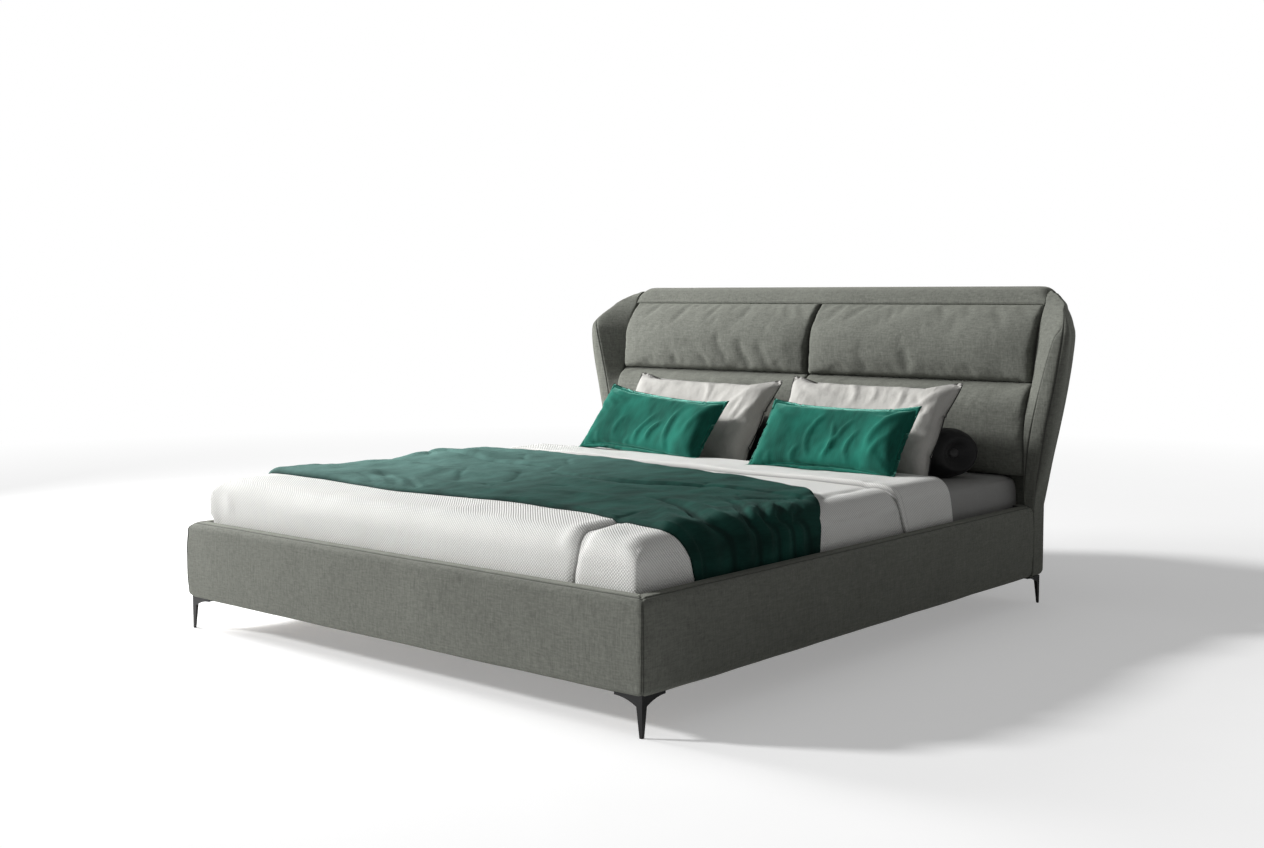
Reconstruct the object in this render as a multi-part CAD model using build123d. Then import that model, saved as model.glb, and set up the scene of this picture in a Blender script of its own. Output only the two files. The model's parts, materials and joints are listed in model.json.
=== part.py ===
# Upholstered double bed with a winged headboard that leans back, dressed with a mattress,
# fitted sheet, coverlet, throw, four pillows and a neck roll.
# Frame: origin on the floor under the middle of the whole bed, +Y towards the headboard,
# +X to the right of somebody standing at the foot, +Z up. All lengths are millimetres.
import os
from math import cos, radians, sqrt

from build123d import *

# Sleeping surface and the space it lies in
mattress_width = 1800.0
mattress_length = 2000.0
mattress_height = 210.0
mattress_corner = 20.0
mattress_edge = 18.0
mattress_sink = 109.0
tuck_gap = 23.0
head_gap = 20.0

# Upholstered rails
rail_thickness = 57.0
rail_height = 252.0
rail_board = 28.0
rail_edge_pad = 8.0
rail_top_radius = 24.0
rail_bottom_radius = 40.0
rail_bulge = 4.0
cover_cloth = 2.0

# Corner legs: two steel blades that meet in a vertical edge, and a top plate
leg_height = 100.0
leg_inset = 13.0
leg_blade = 4.5
leg_reach = 92.0
leg_foot_width = 9.0
leg_neck_width = 19.0
leg_neck_height = 78.0
leg_tip = 3.0
leg_curve_share = 0.36
leg_curve_rise_share = 0.45
leg_plate_length = 89.0
leg_plate_depth = 89.0
leg_plate = 3.0
leg_bolt_row = 66.0
leg_bolt_first = 56.0
leg_bolt_pitch = 22.0
glide_height = 2.0

# Hardware
bolt_radius = 4.0
bolt_head_radius = 6.5
bolt_head_height = 5.0
bolt_depth = 24.0
block_side = 90.0
block_height = 90.0
block_bolt_height = 45.0
block_bolt_back = 60.0
hook_plate = 3.0
hook_along = 60.0
hook_across = 40.0
hook_height = 90.0
hook_lift = 18.0
hook_bolt_inset = 20.0

# Slatted base
slat_count = 14
slat_width = 70.0
slat_thickness = 18.0
slat_end_play = 3.0
tape_width = 30.0
tape_cloth = 1.0
tape_place_share = 0.78
ledge_width = 30.0
ledge_height = 35.0
beam_width = 44.0
beam_height = 70.0
hanger_steel = 3.0
hanger_depth = 50.0
support_count = 2
support_tube = 40.0
support_wall = 2.0
support_plug = 12.0
foot_clearance = 7.0
foot_pad_radius = 22.0
foot_pad_height = 8.0
foot_stem_radius = 4.0
foot_stem_length = 62.0
foot_stem_play = 0.05
foot_travel = 15.0
soft_play = 0.3

# Headboard
headboard_height = 1123.0
headboard_lean = 142.0
headboard_depth = 118.0
wing_thickness = 35.0
back_cloth = 2.0
back_board = 3.0
frame_timber = 45.0
front_panel = 12.0
cross_rail_timber = 35.0
timber_width = 60.0
border_height = 67.0
upper_pad_height = 272.0
pad_seam = 2.0
lower_pad_gap = 1.0
upper_crown = 30.0
lower_crown = 14.0
border_front_drop = 54.0
border_front_setback = 145.0
border_top_setback = 200.0
border_round = 26.0
wing_flare = 98.0
wing_strip = 50.0
wing_plate = 18.0
wing_plate_inset = 8.0
wing_bow = 2.5
wing_round_share = 0.75

# Bedding
sheet_cloth = 2.0
coverlet_side = 10.0
coverlet_foot = 18.0
coverlet_loft = 29.5
coverlet_shoulder = 46.0
coverlet_tuck = 302.0
coverlet_head_gap = 520.0
fold_rise = 13.0
fold_front_left_gap = 680.0
fold_front_right_gap = 780.0
fold_back_left_gap = 470.0
fold_back_right_gap = 430.0
throw_cloth = 24.0
throw_side = 8.0
throw_fold_rise = 9.0
throw_fold_width = 70.0
throw_drop_fold = 8.0

white_pillow_width = 700.0
white_pillow_height = 410.0
white_pillow_thickness = 130.0
green_pillow_width = 600.0
green_pillow_height = 284.0
green_pillow_thickness = 120.0
white_right_inset = 443.0
white_right_gap = 288.0
white_left_inset = 590.0
white_left_gap = 270.0
white_left_roll = 0.8
white_left_sink = 16.0
green_right_inset = 410.0
green_right_gap = 500.0
green_left_inset = 555.0
green_left_gap = 455.0
green_left_roll = 5.0
pillow_edge = 7.0
pillow_draw = 16.0
pillow_tilt = 36.0

bolster_radius = 88.0
bolster_end_gap = 60.0
bolster_rim = 38.0
bolster_dimple = 42.0
bolster_gap = 150.0
button_radius = 18.0
button_height = 9.0
button_edge = 3.0
bolster_end_round = 34.0

# Places worked out from the sizes above
mattress_side = mattress_width / 2
half_width = mattress_side + tuck_gap + rail_thickness
rail_inner = half_width - rail_thickness
pad_side = half_width - wing_thickness
frame_top = headboard_height - border_height
pad_split = frame_top - upper_pad_height
rail_top = leg_height + rail_height
mattress_front = rail_thickness + tuck_gap
mattress_back = mattress_front + mattress_length
pad_front = mattress_back + head_gap
base_back = pad_front + headboard_depth
lean_slope = headboard_lean / (headboard_height - rail_top)
overall_length = base_back + headboard_lean - lean_slope * border_round
back_skin = back_cloth + back_board
panel_depth = back_skin + frame_timber + front_panel
rail_end = base_back - panel_depth - cross_rail_timber
mattress_bottom = rail_top - mattress_sink
support_lift = foot_pad_height + foot_travel + foot_clearance
slat_bottom = mattress_bottom - slat_thickness
mattress_top = mattress_bottom + mattress_height
sheet_top = mattress_top + sheet_cloth
lower_pad_bottom = sheet_top + lower_pad_gap
coverlet_top = sheet_top + soft_play + coverlet_loft
throw_top = coverlet_top + soft_play + throw_cloth
overrun = rail_thickness


def y_of(distance):
    """Frame Y of a place given by its distance from the foot face."""
    return distance - overall_length / 2


def back_line(height):
    """Distance of the headboard's back from the foot face, at a height."""
    return base_back + max(0.0, height - rail_top) * lean_slope


def outline(edges):
    """Face inside a closed chain of edges."""
    return Face(Wire(edges))


def polygon(points):
    """Flat face through points in space."""
    return Face(Wire.make_polygon([Vector(*point) for point in points], close=True))


def prism(points, direction):
    """Straight solid from a flat polygon, along a direction vector."""
    return extrude(polygon(points), amount=Vector(*direction).length, dir=direction)


def across(places, x_low, x_high):
    """Solid from (distance, height) points, from x_low to x_high."""
    points = [(x_low, y_of(distance), height) for distance, height in places]
    return prism(points, (x_high - x_low, 0, 0))


def plan(places, z_low, z_high):
    """Solid from (x, distance) points, from z_low to z_high."""
    points = [(x, y_of(distance), z_low) for x, distance in places]
    return prism(points, (0, 0, z_high - z_low))


def block(x_low, x_high, near, far, z_low, z_high):
    """Box between two x, two distances from the foot face and two heights."""
    places = [(x_low, near), (x_high, near), (x_high, far), (x_low, far)]
    return plan(places, z_low, z_high)


def other_side(shape):
    """The same piece on the left of the bed."""
    return mirror(shape, about=Plane.YZ)


def rod(start, direction, radius, length):
    """Round bar from a point, along a direction."""
    return extrude(Plane(origin=start, z_dir=direction) * Circle(radius), amount=length)


def bolt(seat, direction, shank):
    """Bolt whose head sits on a face at seat and whose shank runs along direction."""
    outward = tuple(-part for part in direction)
    head = extrude(Plane(origin=seat, z_dir=outward)
                   * RegularPolygon(bolt_head_radius, 6), amount=bolt_head_height)
    return head + rod(seat, direction, bolt_radius, shank)


def soft_box(half_x, near, far, z_low, z_high, corner, edge):
    """Box with round upright corners and a round top edge."""
    body = block(-half_x, half_x, near, far, z_low, z_high)
    body = fillet(body.edges().filter_by(Axis.Z), corner)
    return fillet(body.faces().sort_by(Axis.Z)[-1].edges(), edge)


def rail_outline(inset, place):
    """Rail section shrunk by inset. place turns (outward, height) into a point."""
    low, high = leg_height + inset, rail_top - inset
    low_round, high_round = rail_bottom_radius - inset, rail_top_radius - inset
    side = rail_thickness - inset - rail_bulge
    corner = sqrt(0.5)
    low_out, low_up = side - low_round, low + low_round
    high_out, high_up = side - high_round, high - high_round
    points = [(inset, low), (low_out, low), (side, low_up),
              (side, high_up), (high_out, high), (inset, high)]
    low_mid = (low_out + low_round * corner, low_up - low_round * corner)
    high_mid = (high_out + high_round * corner, high_up + high_round * corner)
    belly = (side + rail_bulge, (low_up + high_up) / 2)
    spots = [place(*point) for point in points]
    return outline([
        Line(spots[0], spots[1]),
        ThreePointArc(spots[1], place(*low_mid), spots[2]),
        ThreePointArc(spots[2], place(*belly), spots[3]),
        ThreePointArc(spots[3], place(*high_mid), spots[4]),
        Line(spots[4], spots[5]),
        Line(spots[5], spots[0]),
    ])


def side_rail_solid(inset):
    """Right side rail's form, shrunk by inset all round, with its mitred foot end."""
    def place(outward, height):
        return (rail_inner + outward, y_of(0), height)
    bar = extrude(rail_outline(inset, place), amount=rail_end, dir=(0, 1, 0))
    return bar - mitre_wedge()


def foot_rail_solid(inset):
    """Foot rail's form, shrunk by inset all round, with both ends mitred."""
    def place(outward, height):
        return (-half_width, y_of(rail_thickness - outward), height)
    bar = extrude(rail_outline(inset, place), amount=half_width + half_width, dir=(1, 0, 0))
    return bar & mitre_wedge()


def mitre_wedge():
    """Space of the foot rail, seen from above a shape with two mitred ends."""
    depth = rail_thickness + tuck_gap
    inner = half_width - depth
    places = [(-half_width, 0), (half_width, 0), (inner, depth), (-inner, depth)]
    return plan(places, leg_height - overrun, rail_top + overrun)


def board_box(low_x, high_x, near, far):
    """Board that stiffens a rail."""
    edge = cover_cloth + rail_edge_pad
    return block(low_x, high_x, near, far, leg_height + edge, rail_top - edge)


def side_rail():
    """Board, foam and cloth tube of the right side rail."""
    low_x = rail_inner + cover_cloth
    board = board_box(low_x, low_x + rail_board, 0, rail_end) - mitre_wedge()
    core = side_rail_solid(cover_cloth)
    return board, core - board, side_rail_solid(0) - core


def foot_rail():
    """Board, foam and cloth tube of the foot rail."""
    far = rail_thickness - cover_cloth
    board = board_box(-half_width, half_width, far - rail_board, far) & mitre_wedge()
    core = foot_rail_solid(cover_cloth)
    return board, core - board, foot_rail_solid(0) - core


def blade(place):
    """One leg blade. place turns (along, across, height) into a point."""
    rise = leg_height - leg_tip - leg_neck_height
    bend = leg_neck_width + (leg_reach - leg_neck_width) * leg_curve_share
    bend_height = leg_neck_height + rise * leg_curve_rise_share
    top = leg_height + leg_inset
    corner = [(0, glide_height), (leg_foot_width, glide_height), (leg_neck_width, leg_neck_height),
              (leg_reach, leg_height - leg_tip), (leg_reach, top), (0, top)]
    spots = [place(along, 0, height) for along, height in corner]
    edges = [
        Line(spots[0], spots[1]),
        Line(spots[1], spots[2]),
        ThreePointArc(spots[2], place(bend, 0, bend_height + leg_tip), spots[3]),
        Line(spots[3], spots[4]),
        Line(spots[4], spots[5]),
        Line(spots[5], spots[0]),
    ]
    inward = Vector(*place(0, leg_blade, 0)) - Vector(*place(0, 0, 0))
    return extrude(outline(edges), amount=leg_blade, dir=inward)


def corner_leg(corner_distance, inward):
    """Leg at the right corner. inward is 1 at the foot end and -1 at the head end."""
    corner_x = half_width - leg_inset
    corner_y = y_of(corner_distance + inward * leg_inset)

    def along_x(along, across_it, height):
        return (corner_x - along, corner_y + inward * across_it, height)

    def along_y(along, across_it, height):
        return (corner_x - across_it, corner_y + inward * along, height)

    def sheet(x_reach, y_reach, z_low, z_high):
        near, far = sorted([corner_y, corner_y + inward * y_reach])
        points = [(corner_x - x_reach, near, z_low), (corner_x, near, z_low),
                  (corner_x, far, z_low), (corner_x - x_reach, far, z_low)]
        return prism(points, (0, 0, z_high - z_low))

    plate = sheet(leg_plate_length, leg_plate_depth, leg_height - leg_plate, leg_height)
    leg = blade(along_x) + blade(along_y) + plate
    glide = (sheet(leg_foot_width, leg_blade, 0, glide_height)
             + sheet(leg_blade, leg_foot_width, 0, glide_height))
    bolts = []
    for turn in range(2):
        bolt_x = corner_x - leg_bolt_first - turn * leg_bolt_pitch
        seat = (bolt_x, corner_y + inward * leg_bolt_row, leg_height - leg_plate)
        bolts.append(bolt(seat, (0, 0, 1), bolt_depth))
    return leg, glide, bolts


def ledge():
    """Strip that carries the slats on the right side rail."""
    return block(rail_inner - ledge_width, rail_inner, rail_thickness, rail_end,
                 slat_bottom - ledge_height, slat_bottom)


def corner_block():
    """Block in the right foot corner that joins both rails and holds the leg."""
    return block(rail_inner - block_side, rail_inner, rail_thickness,
                 rail_thickness + block_side, leg_height, leg_height + block_height)


def corner_block_bolts():
    """Two bolts from the right corner block into the rails."""
    height = leg_height + block_bolt_height
    into_side = bolt((rail_inner - block_side, y_of(rail_thickness + block_bolt_back), height),
                     (1, 0, 0), block_side + bolt_depth)
    into_foot = bolt((rail_inner - block_bolt_back, y_of(rail_thickness + block_side),
                      height - bolt_head_radius - bolt_head_radius), (0, -1, 0),
                     block_side + bolt_depth)
    return [into_side, into_foot]


def hook_bracket():
    """Angle plate that hangs the right side rail on the headboard's cross rail."""
    low = mattress_bottom + hook_lift
    along_rail = block(rail_inner - hook_plate, rail_inner, rail_end - hook_along, rail_end,
                       low, low + hook_height)
    across_head = block(rail_inner - hook_across, rail_inner, rail_end - hook_plate, rail_end,
                        low, low + hook_height)
    return along_rail + across_head


def hook_bolts():
    """Four bolts of the right angle plate."""
    low = mattress_bottom + hook_lift
    bolts = []
    for height in (low + hook_bolt_inset, low + hook_height - hook_bolt_inset):
        side_y = y_of(rail_end - hook_along + hook_bolt_inset)
        bolts.append(bolt((rail_inner - hook_plate, side_y, height), (1, 0, 0), bolt_depth))
        head_x = rail_inner - hook_across + bolt_head_radius + hook_plate
        bolts.append(bolt((head_x, y_of(rail_end - hook_plate), height), (0, 1, 0), bolt_depth))
    return bolts


def hanger(distance, inward):
    """Steel saddle that holds one end of the centre beam."""
    half = beam_width / 2
    low = slat_bottom - beam_height
    far = distance + inward * hanger_depth
    near, far = sorted([distance, far])
    tray = block(-half - hanger_steel, half + hanger_steel, near, far, low - hanger_steel, low)
    cheek = block(half, half + hanger_steel, near, far, low, slat_bottom - hanger_steel)
    return tray + cheek + other_side(cheek)


def slats():
    """Slats and the two tapes that keep them apart."""
    pitch = mattress_length / slat_count
    half = rail_inner - slat_end_play
    boards = []
    for index in range(slat_count):
        middle = mattress_front + pitch * (index + 0.5)
        boards.append(block(-half, half, middle - slat_width / 2, middle + slat_width / 2,
                            slat_bottom, mattress_bottom))
    start = mattress_front + pitch / 2 - slat_width / 2
    end = mattress_back - pitch / 2 + slat_width / 2
    tape_x = half * tape_place_share
    tape = block(tape_x - tape_width / 2, tape_x + tape_width / 2, start, end,
                 slat_bottom - tape_cloth, slat_bottom)
    return boards, [other_side(tape), tape]


def support(distance):
    """Centre leg under the beam and its levelling foot."""
    half = support_tube / 2
    top = slat_bottom - beam_height
    tube = block(-half, half, distance - half, distance + half, support_lift, top)
    room = block(-half + support_wall, half - support_wall, distance - half + support_wall,
                 distance + half - support_wall, support_lift + support_plug, top - support_wall)
    bore = rod((0, y_of(distance), 0), (0, 0, 1), foot_stem_radius + foot_stem_play,
               support_lift + support_plug + support_wall)
    pad = rod((0, y_of(distance), 0), (0, 0, 1), foot_pad_radius, foot_pad_height)
    stem = rod((0, y_of(distance), 0), (0, 0, 1), foot_stem_radius, foot_stem_length)
    return tube - room - bore, pad + stem


def leaning(front, back, z_low, z_high, x_low, x_high):
    """Board that follows the headboard's back, front and back counted from it."""
    heights = [z_low, z_high] if z_low >= rail_top else [z_low, rail_top, z_high]
    places = [(back_line(height) - front, height) for height in heights]
    places += [(back_line(height) - back, height) for height in reversed(heights)]
    return across(places, x_low, x_high)


def pad(x_low, x_high, z_low, z_high, rows_share, crown):
    """Crowned pad. rows_share gives (height, setback) of its front, from bottom to top."""
    stations_share = [0.0, 0.03, 0.1, 0.25, 0.5, 0.75, 0.9, 0.97, 1.0]
    span = z_high - z_low
    sections = []
    for station in stations_share:
        x = x_low + (x_high - x_low) * station
        puff = crown * (1 - abs(2 * station - 1) ** 3)
        waist = (0.2, 0.75, 1.0, 0.75, 0.1)
        front = []
        for (height_share, setback_share), swell in zip(rows_share, waist):
            distance = pad_front + headboard_lean * setback_share - puff * swell
            front.append((x, y_of(distance), z_low + span * height_share))
        high_back = (x, y_of(back_line(z_high) - panel_depth), front[-1][2])
        low_back = (x, y_of(back_line(z_low) - panel_depth), z_low)
        sections.append(outline([
            ThreePointArc(front[0], front[1], front[2]),
            ThreePointArc(front[2], front[3], front[4]),
            Line(front[4], high_back),
            Line(high_back, low_back),
            Line(low_back, front[0]),
        ]))
    return loft(sections, ruled=True)


def pads():
    """Upper and lower pads of the right half."""
    upper_rows_share = [(0.0, 0.345), (0.30, 0.385), (0.60, 0.48), (0.83, 0.74), (1.0, 1.02)]
    lower_rows_share = [(0.0, 0.12), (0.22, 0.01), (0.55, 0.0), (0.86, 0.10), (1.0, 0.40)]
    left, right = pad_seam / 2, pad_side
    upper = pad(left, right, pad_split, frame_top, upper_rows_share, upper_crown)
    lower = pad(left, right, lower_pad_bottom, pad_split - pad_seam, lower_rows_share,
                lower_crown)
    return upper, lower


def border():
    """Padded roll along the top of the headboard."""
    def spot(distance, height):
        return (-pad_side, y_of(distance), height)
    low_back = back_line(frame_top)
    front_low = pad_front + border_front_setback
    front_high = pad_front + border_top_setback
    round_half = border_round * (1 - sqrt(0.5))
    high_back = back_line(headboard_height) - border_round
    mid_front = spot((front_low + front_high) / 2 - round_half,
                     headboard_height - border_front_drop / 2 + round_half)
    mid_back = spot(high_back + border_round - round_half, headboard_height - round_half)
    spots = [spot(front_low, frame_top), spot(front_low, headboard_height - border_front_drop),
             spot(front_high, headboard_height), spot(high_back, headboard_height),
             spot(back_line(headboard_height - border_round), headboard_height - border_round),
             spot(low_back, frame_top)]
    edges = [
        Line(spots[0], spots[1]),
        ThreePointArc(spots[1], mid_front, spots[2]),
        Line(spots[2], spots[3]),
        ThreePointArc(spots[3], mid_back, spots[4]),
        Line(spots[4], spots[5]),
        Line(spots[5], spots[0]),
    ]
    return extrude(outline(edges), amount=pad_side + pad_side, dir=(1, 0, 0))


# Right wing, one row a height: height above the rail, flare of the outer front edge, width
# of the front strip, setback of the strip and of the pad line, belly, and rear corner.
# Heights are shares of the headboard above the rail, flare and belly of the wing's flare,
# strip of its width, and setbacks of the lean.
wing_rows_share = [
    (0.000, 0.000, 0.70, 0.150, 0.15, 0.00, 0.20),
    (0.078, 0.085, 0.86, 0.080, 0.08, 0.01, 0.27),
    (0.224, 0.265, 1.00, 0.015, 0.02, 0.02, 0.48),
    (0.359, 0.440, 1.00, -0.030, 0.00, 0.03, 0.63),
    (0.470, 0.610, 1.00, -0.035, 0.10, 0.04, 0.84),
    (0.568, 0.765, 0.96, -0.040, 0.34, 0.05, 1.11),
    (0.674, 0.900, 0.80, -0.045, 0.40, 0.05, 1.40),
    (0.771, 1.000, 0.54, -0.020, 0.55, 0.02, 1.62),
    (0.817, 0.990, 0.12, 0.060, 0.66, -0.02, 1.70),
    (0.866, 0.930, 0.10, 0.330, 0.82, -0.15, 1.70),
    (0.918, 0.680, 0.10, 0.720, 1.07, -0.27, 1.70),
    (0.960, 0.290, 0.10, 1.040, 1.26, -0.32, 1.70),
    (0.988, -0.190, 0.10, 1.290, 1.38, -0.06, 1.70),
    (1.000, -0.290, 0.06, 1.450, 1.48, -0.01, 1.70),
]


def wing_section(row, height):
    """Level section of the right wing."""
    _, flare, strip, setback, pad_setback, belly, corner = row
    edge_x = half_width + wing_flare * flare
    seam_x = max(edge_x - wing_strip * strip, pad_side + pad_seam)
    front = pad_front + headboard_lean * setback
    pad_line = max(pad_front + headboard_lean * pad_setback, front)
    if height <= rail_top:
        front = rail_end
        pad_line = rail_end
    rounding = max(0.0, height - headboard_height + border_round) / border_round
    rear = back_line(height) - border_round * (1 - sqrt(1 - rounding ** 2))
    corner_size = wing_flare * corner
    corner_x = max(edge_x - corner_size, pad_side + pad_seam + pad_seam)
    corner_y = rear - min(corner_size, (rear - front) * wing_round_share)
    belly_x = edge_x + wing_flare * belly
    mid_x = (edge_x + belly_x) / 2 + wing_bow
    places = {
        "inner_back": (pad_side, rear),
        "inner_front": (pad_side, pad_line),
        "seam": (seam_x, front + pad_seam),
        "edge": (edge_x, front),
        "belly": (mid_x, (front + corner_y) / 2),
        "side": (belly_x, corner_y),
        "round": (corner_x + (belly_x - corner_x) * sqrt(0.5),
                  corner_y + (rear - corner_y) * sqrt(0.5)),
        "rear": (corner_x, rear),
    }
    spots = {name: (x, y_of(distance), height) for name, (x, distance) in places.items()}
    return outline([
        Line(spots["inner_back"], spots["inner_front"]),
        Line(spots["inner_front"], spots["seam"]),
        Line(spots["seam"], spots["edge"]),
        ThreePointArc(spots["edge"], spots["belly"], spots["side"]),
        ThreePointArc(spots["side"], spots["round"], spots["rear"]),
        Line(spots["rear"], spots["inner_back"]),
    ])


def wing_plate_solid():
    """Plywood side of the headboard, inside the right wing."""
    low_x = pad_side + wing_plate_inset
    inset = wing_plate_inset
    front_share = [(0.0, 0.15), (0.568, 0.34), (0.817, 0.66), (0.918, 1.07)]
    above = headboard_height - rail_top
    places = [(rail_end + inset, leg_height + inset)]
    places += [(pad_front + headboard_lean * setback + inset + inset, rail_top + above * share)
               for share, setback in front_share]
    top = places[-1][1]
    places.append((back_line(top) - inset, top))
    places.append((back_line(rail_top) - inset, rail_top))
    places.append((base_back - inset, leg_height + inset))
    return across(places, low_x, low_x + wing_plate)


def wing():
    """Upholstered body of the right wing and the plate inside it."""
    above = headboard_height - rail_top
    rows = [(wing_rows_share[0], leg_height)]
    rows += [(row, rail_top + above * row[0]) for row in wing_rows_share]
    body = loft([wing_section(row, height) for row, height in rows], ruled=True)
    plate = wing_plate_solid()
    return body - plate, plate & body


def dressed_mattress():
    """Mattress and the fitted sheet over it."""
    half = mattress_side
    body = block(-half, half, mattress_front, mattress_back, mattress_bottom, mattress_top)
    body = fillet(body.edges().filter_by(Axis.Z), mattress_corner)
    rims = body.faces().sort_by(Axis.Z)
    body = fillet(rims[0].edges() + rims[-1].edges(), mattress_edge)
    outer = soft_box(half + sheet_cloth, mattress_front - sheet_cloth,
                     mattress_back + sheet_cloth, mattress_bottom + mattress_edge, sheet_top,
                     mattress_corner + sheet_cloth, mattress_edge + sheet_cloth)
    return body, outer - body, outer


def covered(side, foot, rise):
    """Rounded form around the dressed mattress, proud of its sides, foot and top."""
    under = sheet_cloth + soft_play
    return soft_box(mattress_side + under + side, mattress_front - under - foot,
                    mattress_back + mattress_length, coverlet_tuck, sheet_top + soft_play + rise,
                    mattress_corner + side, coverlet_shoulder + rise / 4)


def coverlet(sheet_form):
    """Quilted cover with its head end folded back."""
    form = covered(coverlet_side, coverlet_foot, coverlet_loft)
    band_form = covered(coverlet_side, coverlet_foot, coverlet_loft + fold_rise)
    half = half_width
    shell = form & block(-half, half, 0, mattress_back - coverlet_head_gap, coverlet_tuck,
                         headboard_height)
    band_places = [(-half, mattress_back - fold_front_left_gap),
                   (half, mattress_back - fold_front_right_gap),
                   (half, mattress_back - fold_back_right_gap),
                   (-half, mattress_back - fold_back_left_gap)]
    band = band_form & plan(band_places, coverlet_tuck, headboard_height)
    under = sheet_cloth + soft_play
    hollow = soft_box(mattress_side + under, mattress_front - under,
                      mattress_back + mattress_length, coverlet_tuck - overrun,
                      sheet_top + soft_play, mattress_corner + sheet_cloth, mattress_edge)
    return (shell + band) - hollow - sheet_form


def ridge(start, end, width, rise, base):
    """Soft fold in cloth: a lens that swells from both ends, lying on a level base."""
    line = Vector(*end) - Vector(*start)
    side = Vector(-line.Y, line.X, 0).normalized()
    sections = []
    stations_share = [(0.0, 0.15, 0.49), (0.3, 0.8, 0.88), (0.6, 1.0, 1.0), (1.0, 0.15, 0.49)]
    for share, swell, breadth in stations_share:
        middle = Vector(*start) + line * share
        low = Vector(0, 0, base - rise)
        half = side * (width * breadth / 2)
        crest = Vector(0, 0, base + rise * swell)
        left, right = middle - half + Vector(0, 0, base), middle + half + Vector(0, 0, base)
        sections.append(outline([
            ThreePointArc(left, middle + crest, right),
            Line(right, middle + half + low),
            Line(middle + half + low, middle - half + low),
            Line(middle - half + low, left),
        ]))
    return loft(sections, ruled=True)


def throw(cover):
    """Blanket across the bed, with its main folds and its tucked, gathered right end."""
    lift = coverlet_loft + soft_play
    grow_form = covered(coverlet_side + soft_play + throw_side, coverlet_foot, lift + throw_cloth)
    half = half_width
    near_share = [(-1.0, 0.130), (-0.75, 0.095), (-0.4, 0.09), (0.0, 0.115), (0.35, 0.09),
                  (0.7, 0.10), (0.9, 0.085), (0.94, 0.11), (1.0, 0.11)]
    far_share = [(1.0, 0.40), (0.94, 0.40), (0.87, 0.47), (0.7, 0.52), (0.4, 0.565),
                 (0.0, 0.61), (-0.4, 0.635), (-0.75, 0.615), (-1.0, 0.58)]
    places = [(half * x, mattress_front + mattress_length * share)
              for x, share in near_share + far_share]
    cloth = grow_form & plan(places, coverlet_tuck, headboard_height)
    folds_share = [
        ((-0.62, 0.17), (-0.10, 0.30)), ((-0.70, 0.38), (-0.05, 0.47)),
        ((-0.20, 0.20), (0.42, 0.30)), ((0.10, 0.40), (0.72, 0.38)),
        ((0.30, 0.50), (0.80, 0.44)), ((-0.55, 0.55), (0.10, 0.56)),
        ((0.45, 0.20), (0.84, 0.22)),
    ]
    for first, last in folds_share:
        ends = [(half * x, y_of(mattress_front + mattress_length * share), 0)
                for x, share in (first, last)]
        cloth += ridge(ends[0], ends[1], throw_fold_width, throw_fold_rise,
                       throw_top - throw_fold_rise / 3)
    drop_share = [0.15, 0.20, 0.245, 0.30, 0.35]
    side_x = mattress_side + sheet_cloth + coverlet_side + soft_play
    low, high = rail_top + throw_drop_fold, coverlet_top - coverlet_shoulder / 2
    for share in drop_share:
        middle = mattress_front + mattress_length * share
        outer = side_x + throw_side + throw_drop_fold
        bead = [(side_x, middle - throw_fold_width / 2), (outer - throw_drop_fold / 2,
                middle - throw_fold_width / 4), (outer, middle),
                (outer - throw_drop_fold / 2, middle + throw_fold_width / 4),
                (side_x, middle + throw_fold_width / 2)]
        cloth += plan(bead, low, high)
    return cloth - covered(coverlet_side + soft_play, coverlet_foot, lift) - cover


def pillow(width, height, thickness):
    """Pillow standing on its long edge, middle at the origin, front towards -Y."""
    stations_share = [-1.0, -0.94, -0.82, -0.6, -0.3, 0.0, 0.3, 0.6, 0.82, 0.94, 1.0]
    sections = []
    for station in stations_share:
        fullness = sqrt(1 - abs(station) ** 2.4) if abs(station) < 1 else 0.0
        half_height = height / 2 - pillow_draw * (1 - station ** 4)
        half_depth = (pillow_edge + (thickness - pillow_edge) * fullness) / 2
        x = width / 2 * station
        low, high = (x, 0, -half_height), (x, 0, half_height)
        sections.append(outline([
            ThreePointArc(low, (x, -half_depth, 0), high),
            ThreePointArc(high, (x, half_depth, 0), low),
        ]))
    return loft(sections, ruled=True)


def placed_pillow(size, middle_x, distance, height, roll):
    """Pillow leaning back at its place."""
    shape = pillow(*size)
    return Pos(middle_x, y_of(distance), height) * Rot(-pillow_tilt, 0, 0) * Rot(0, roll, 0) * shape


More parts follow.
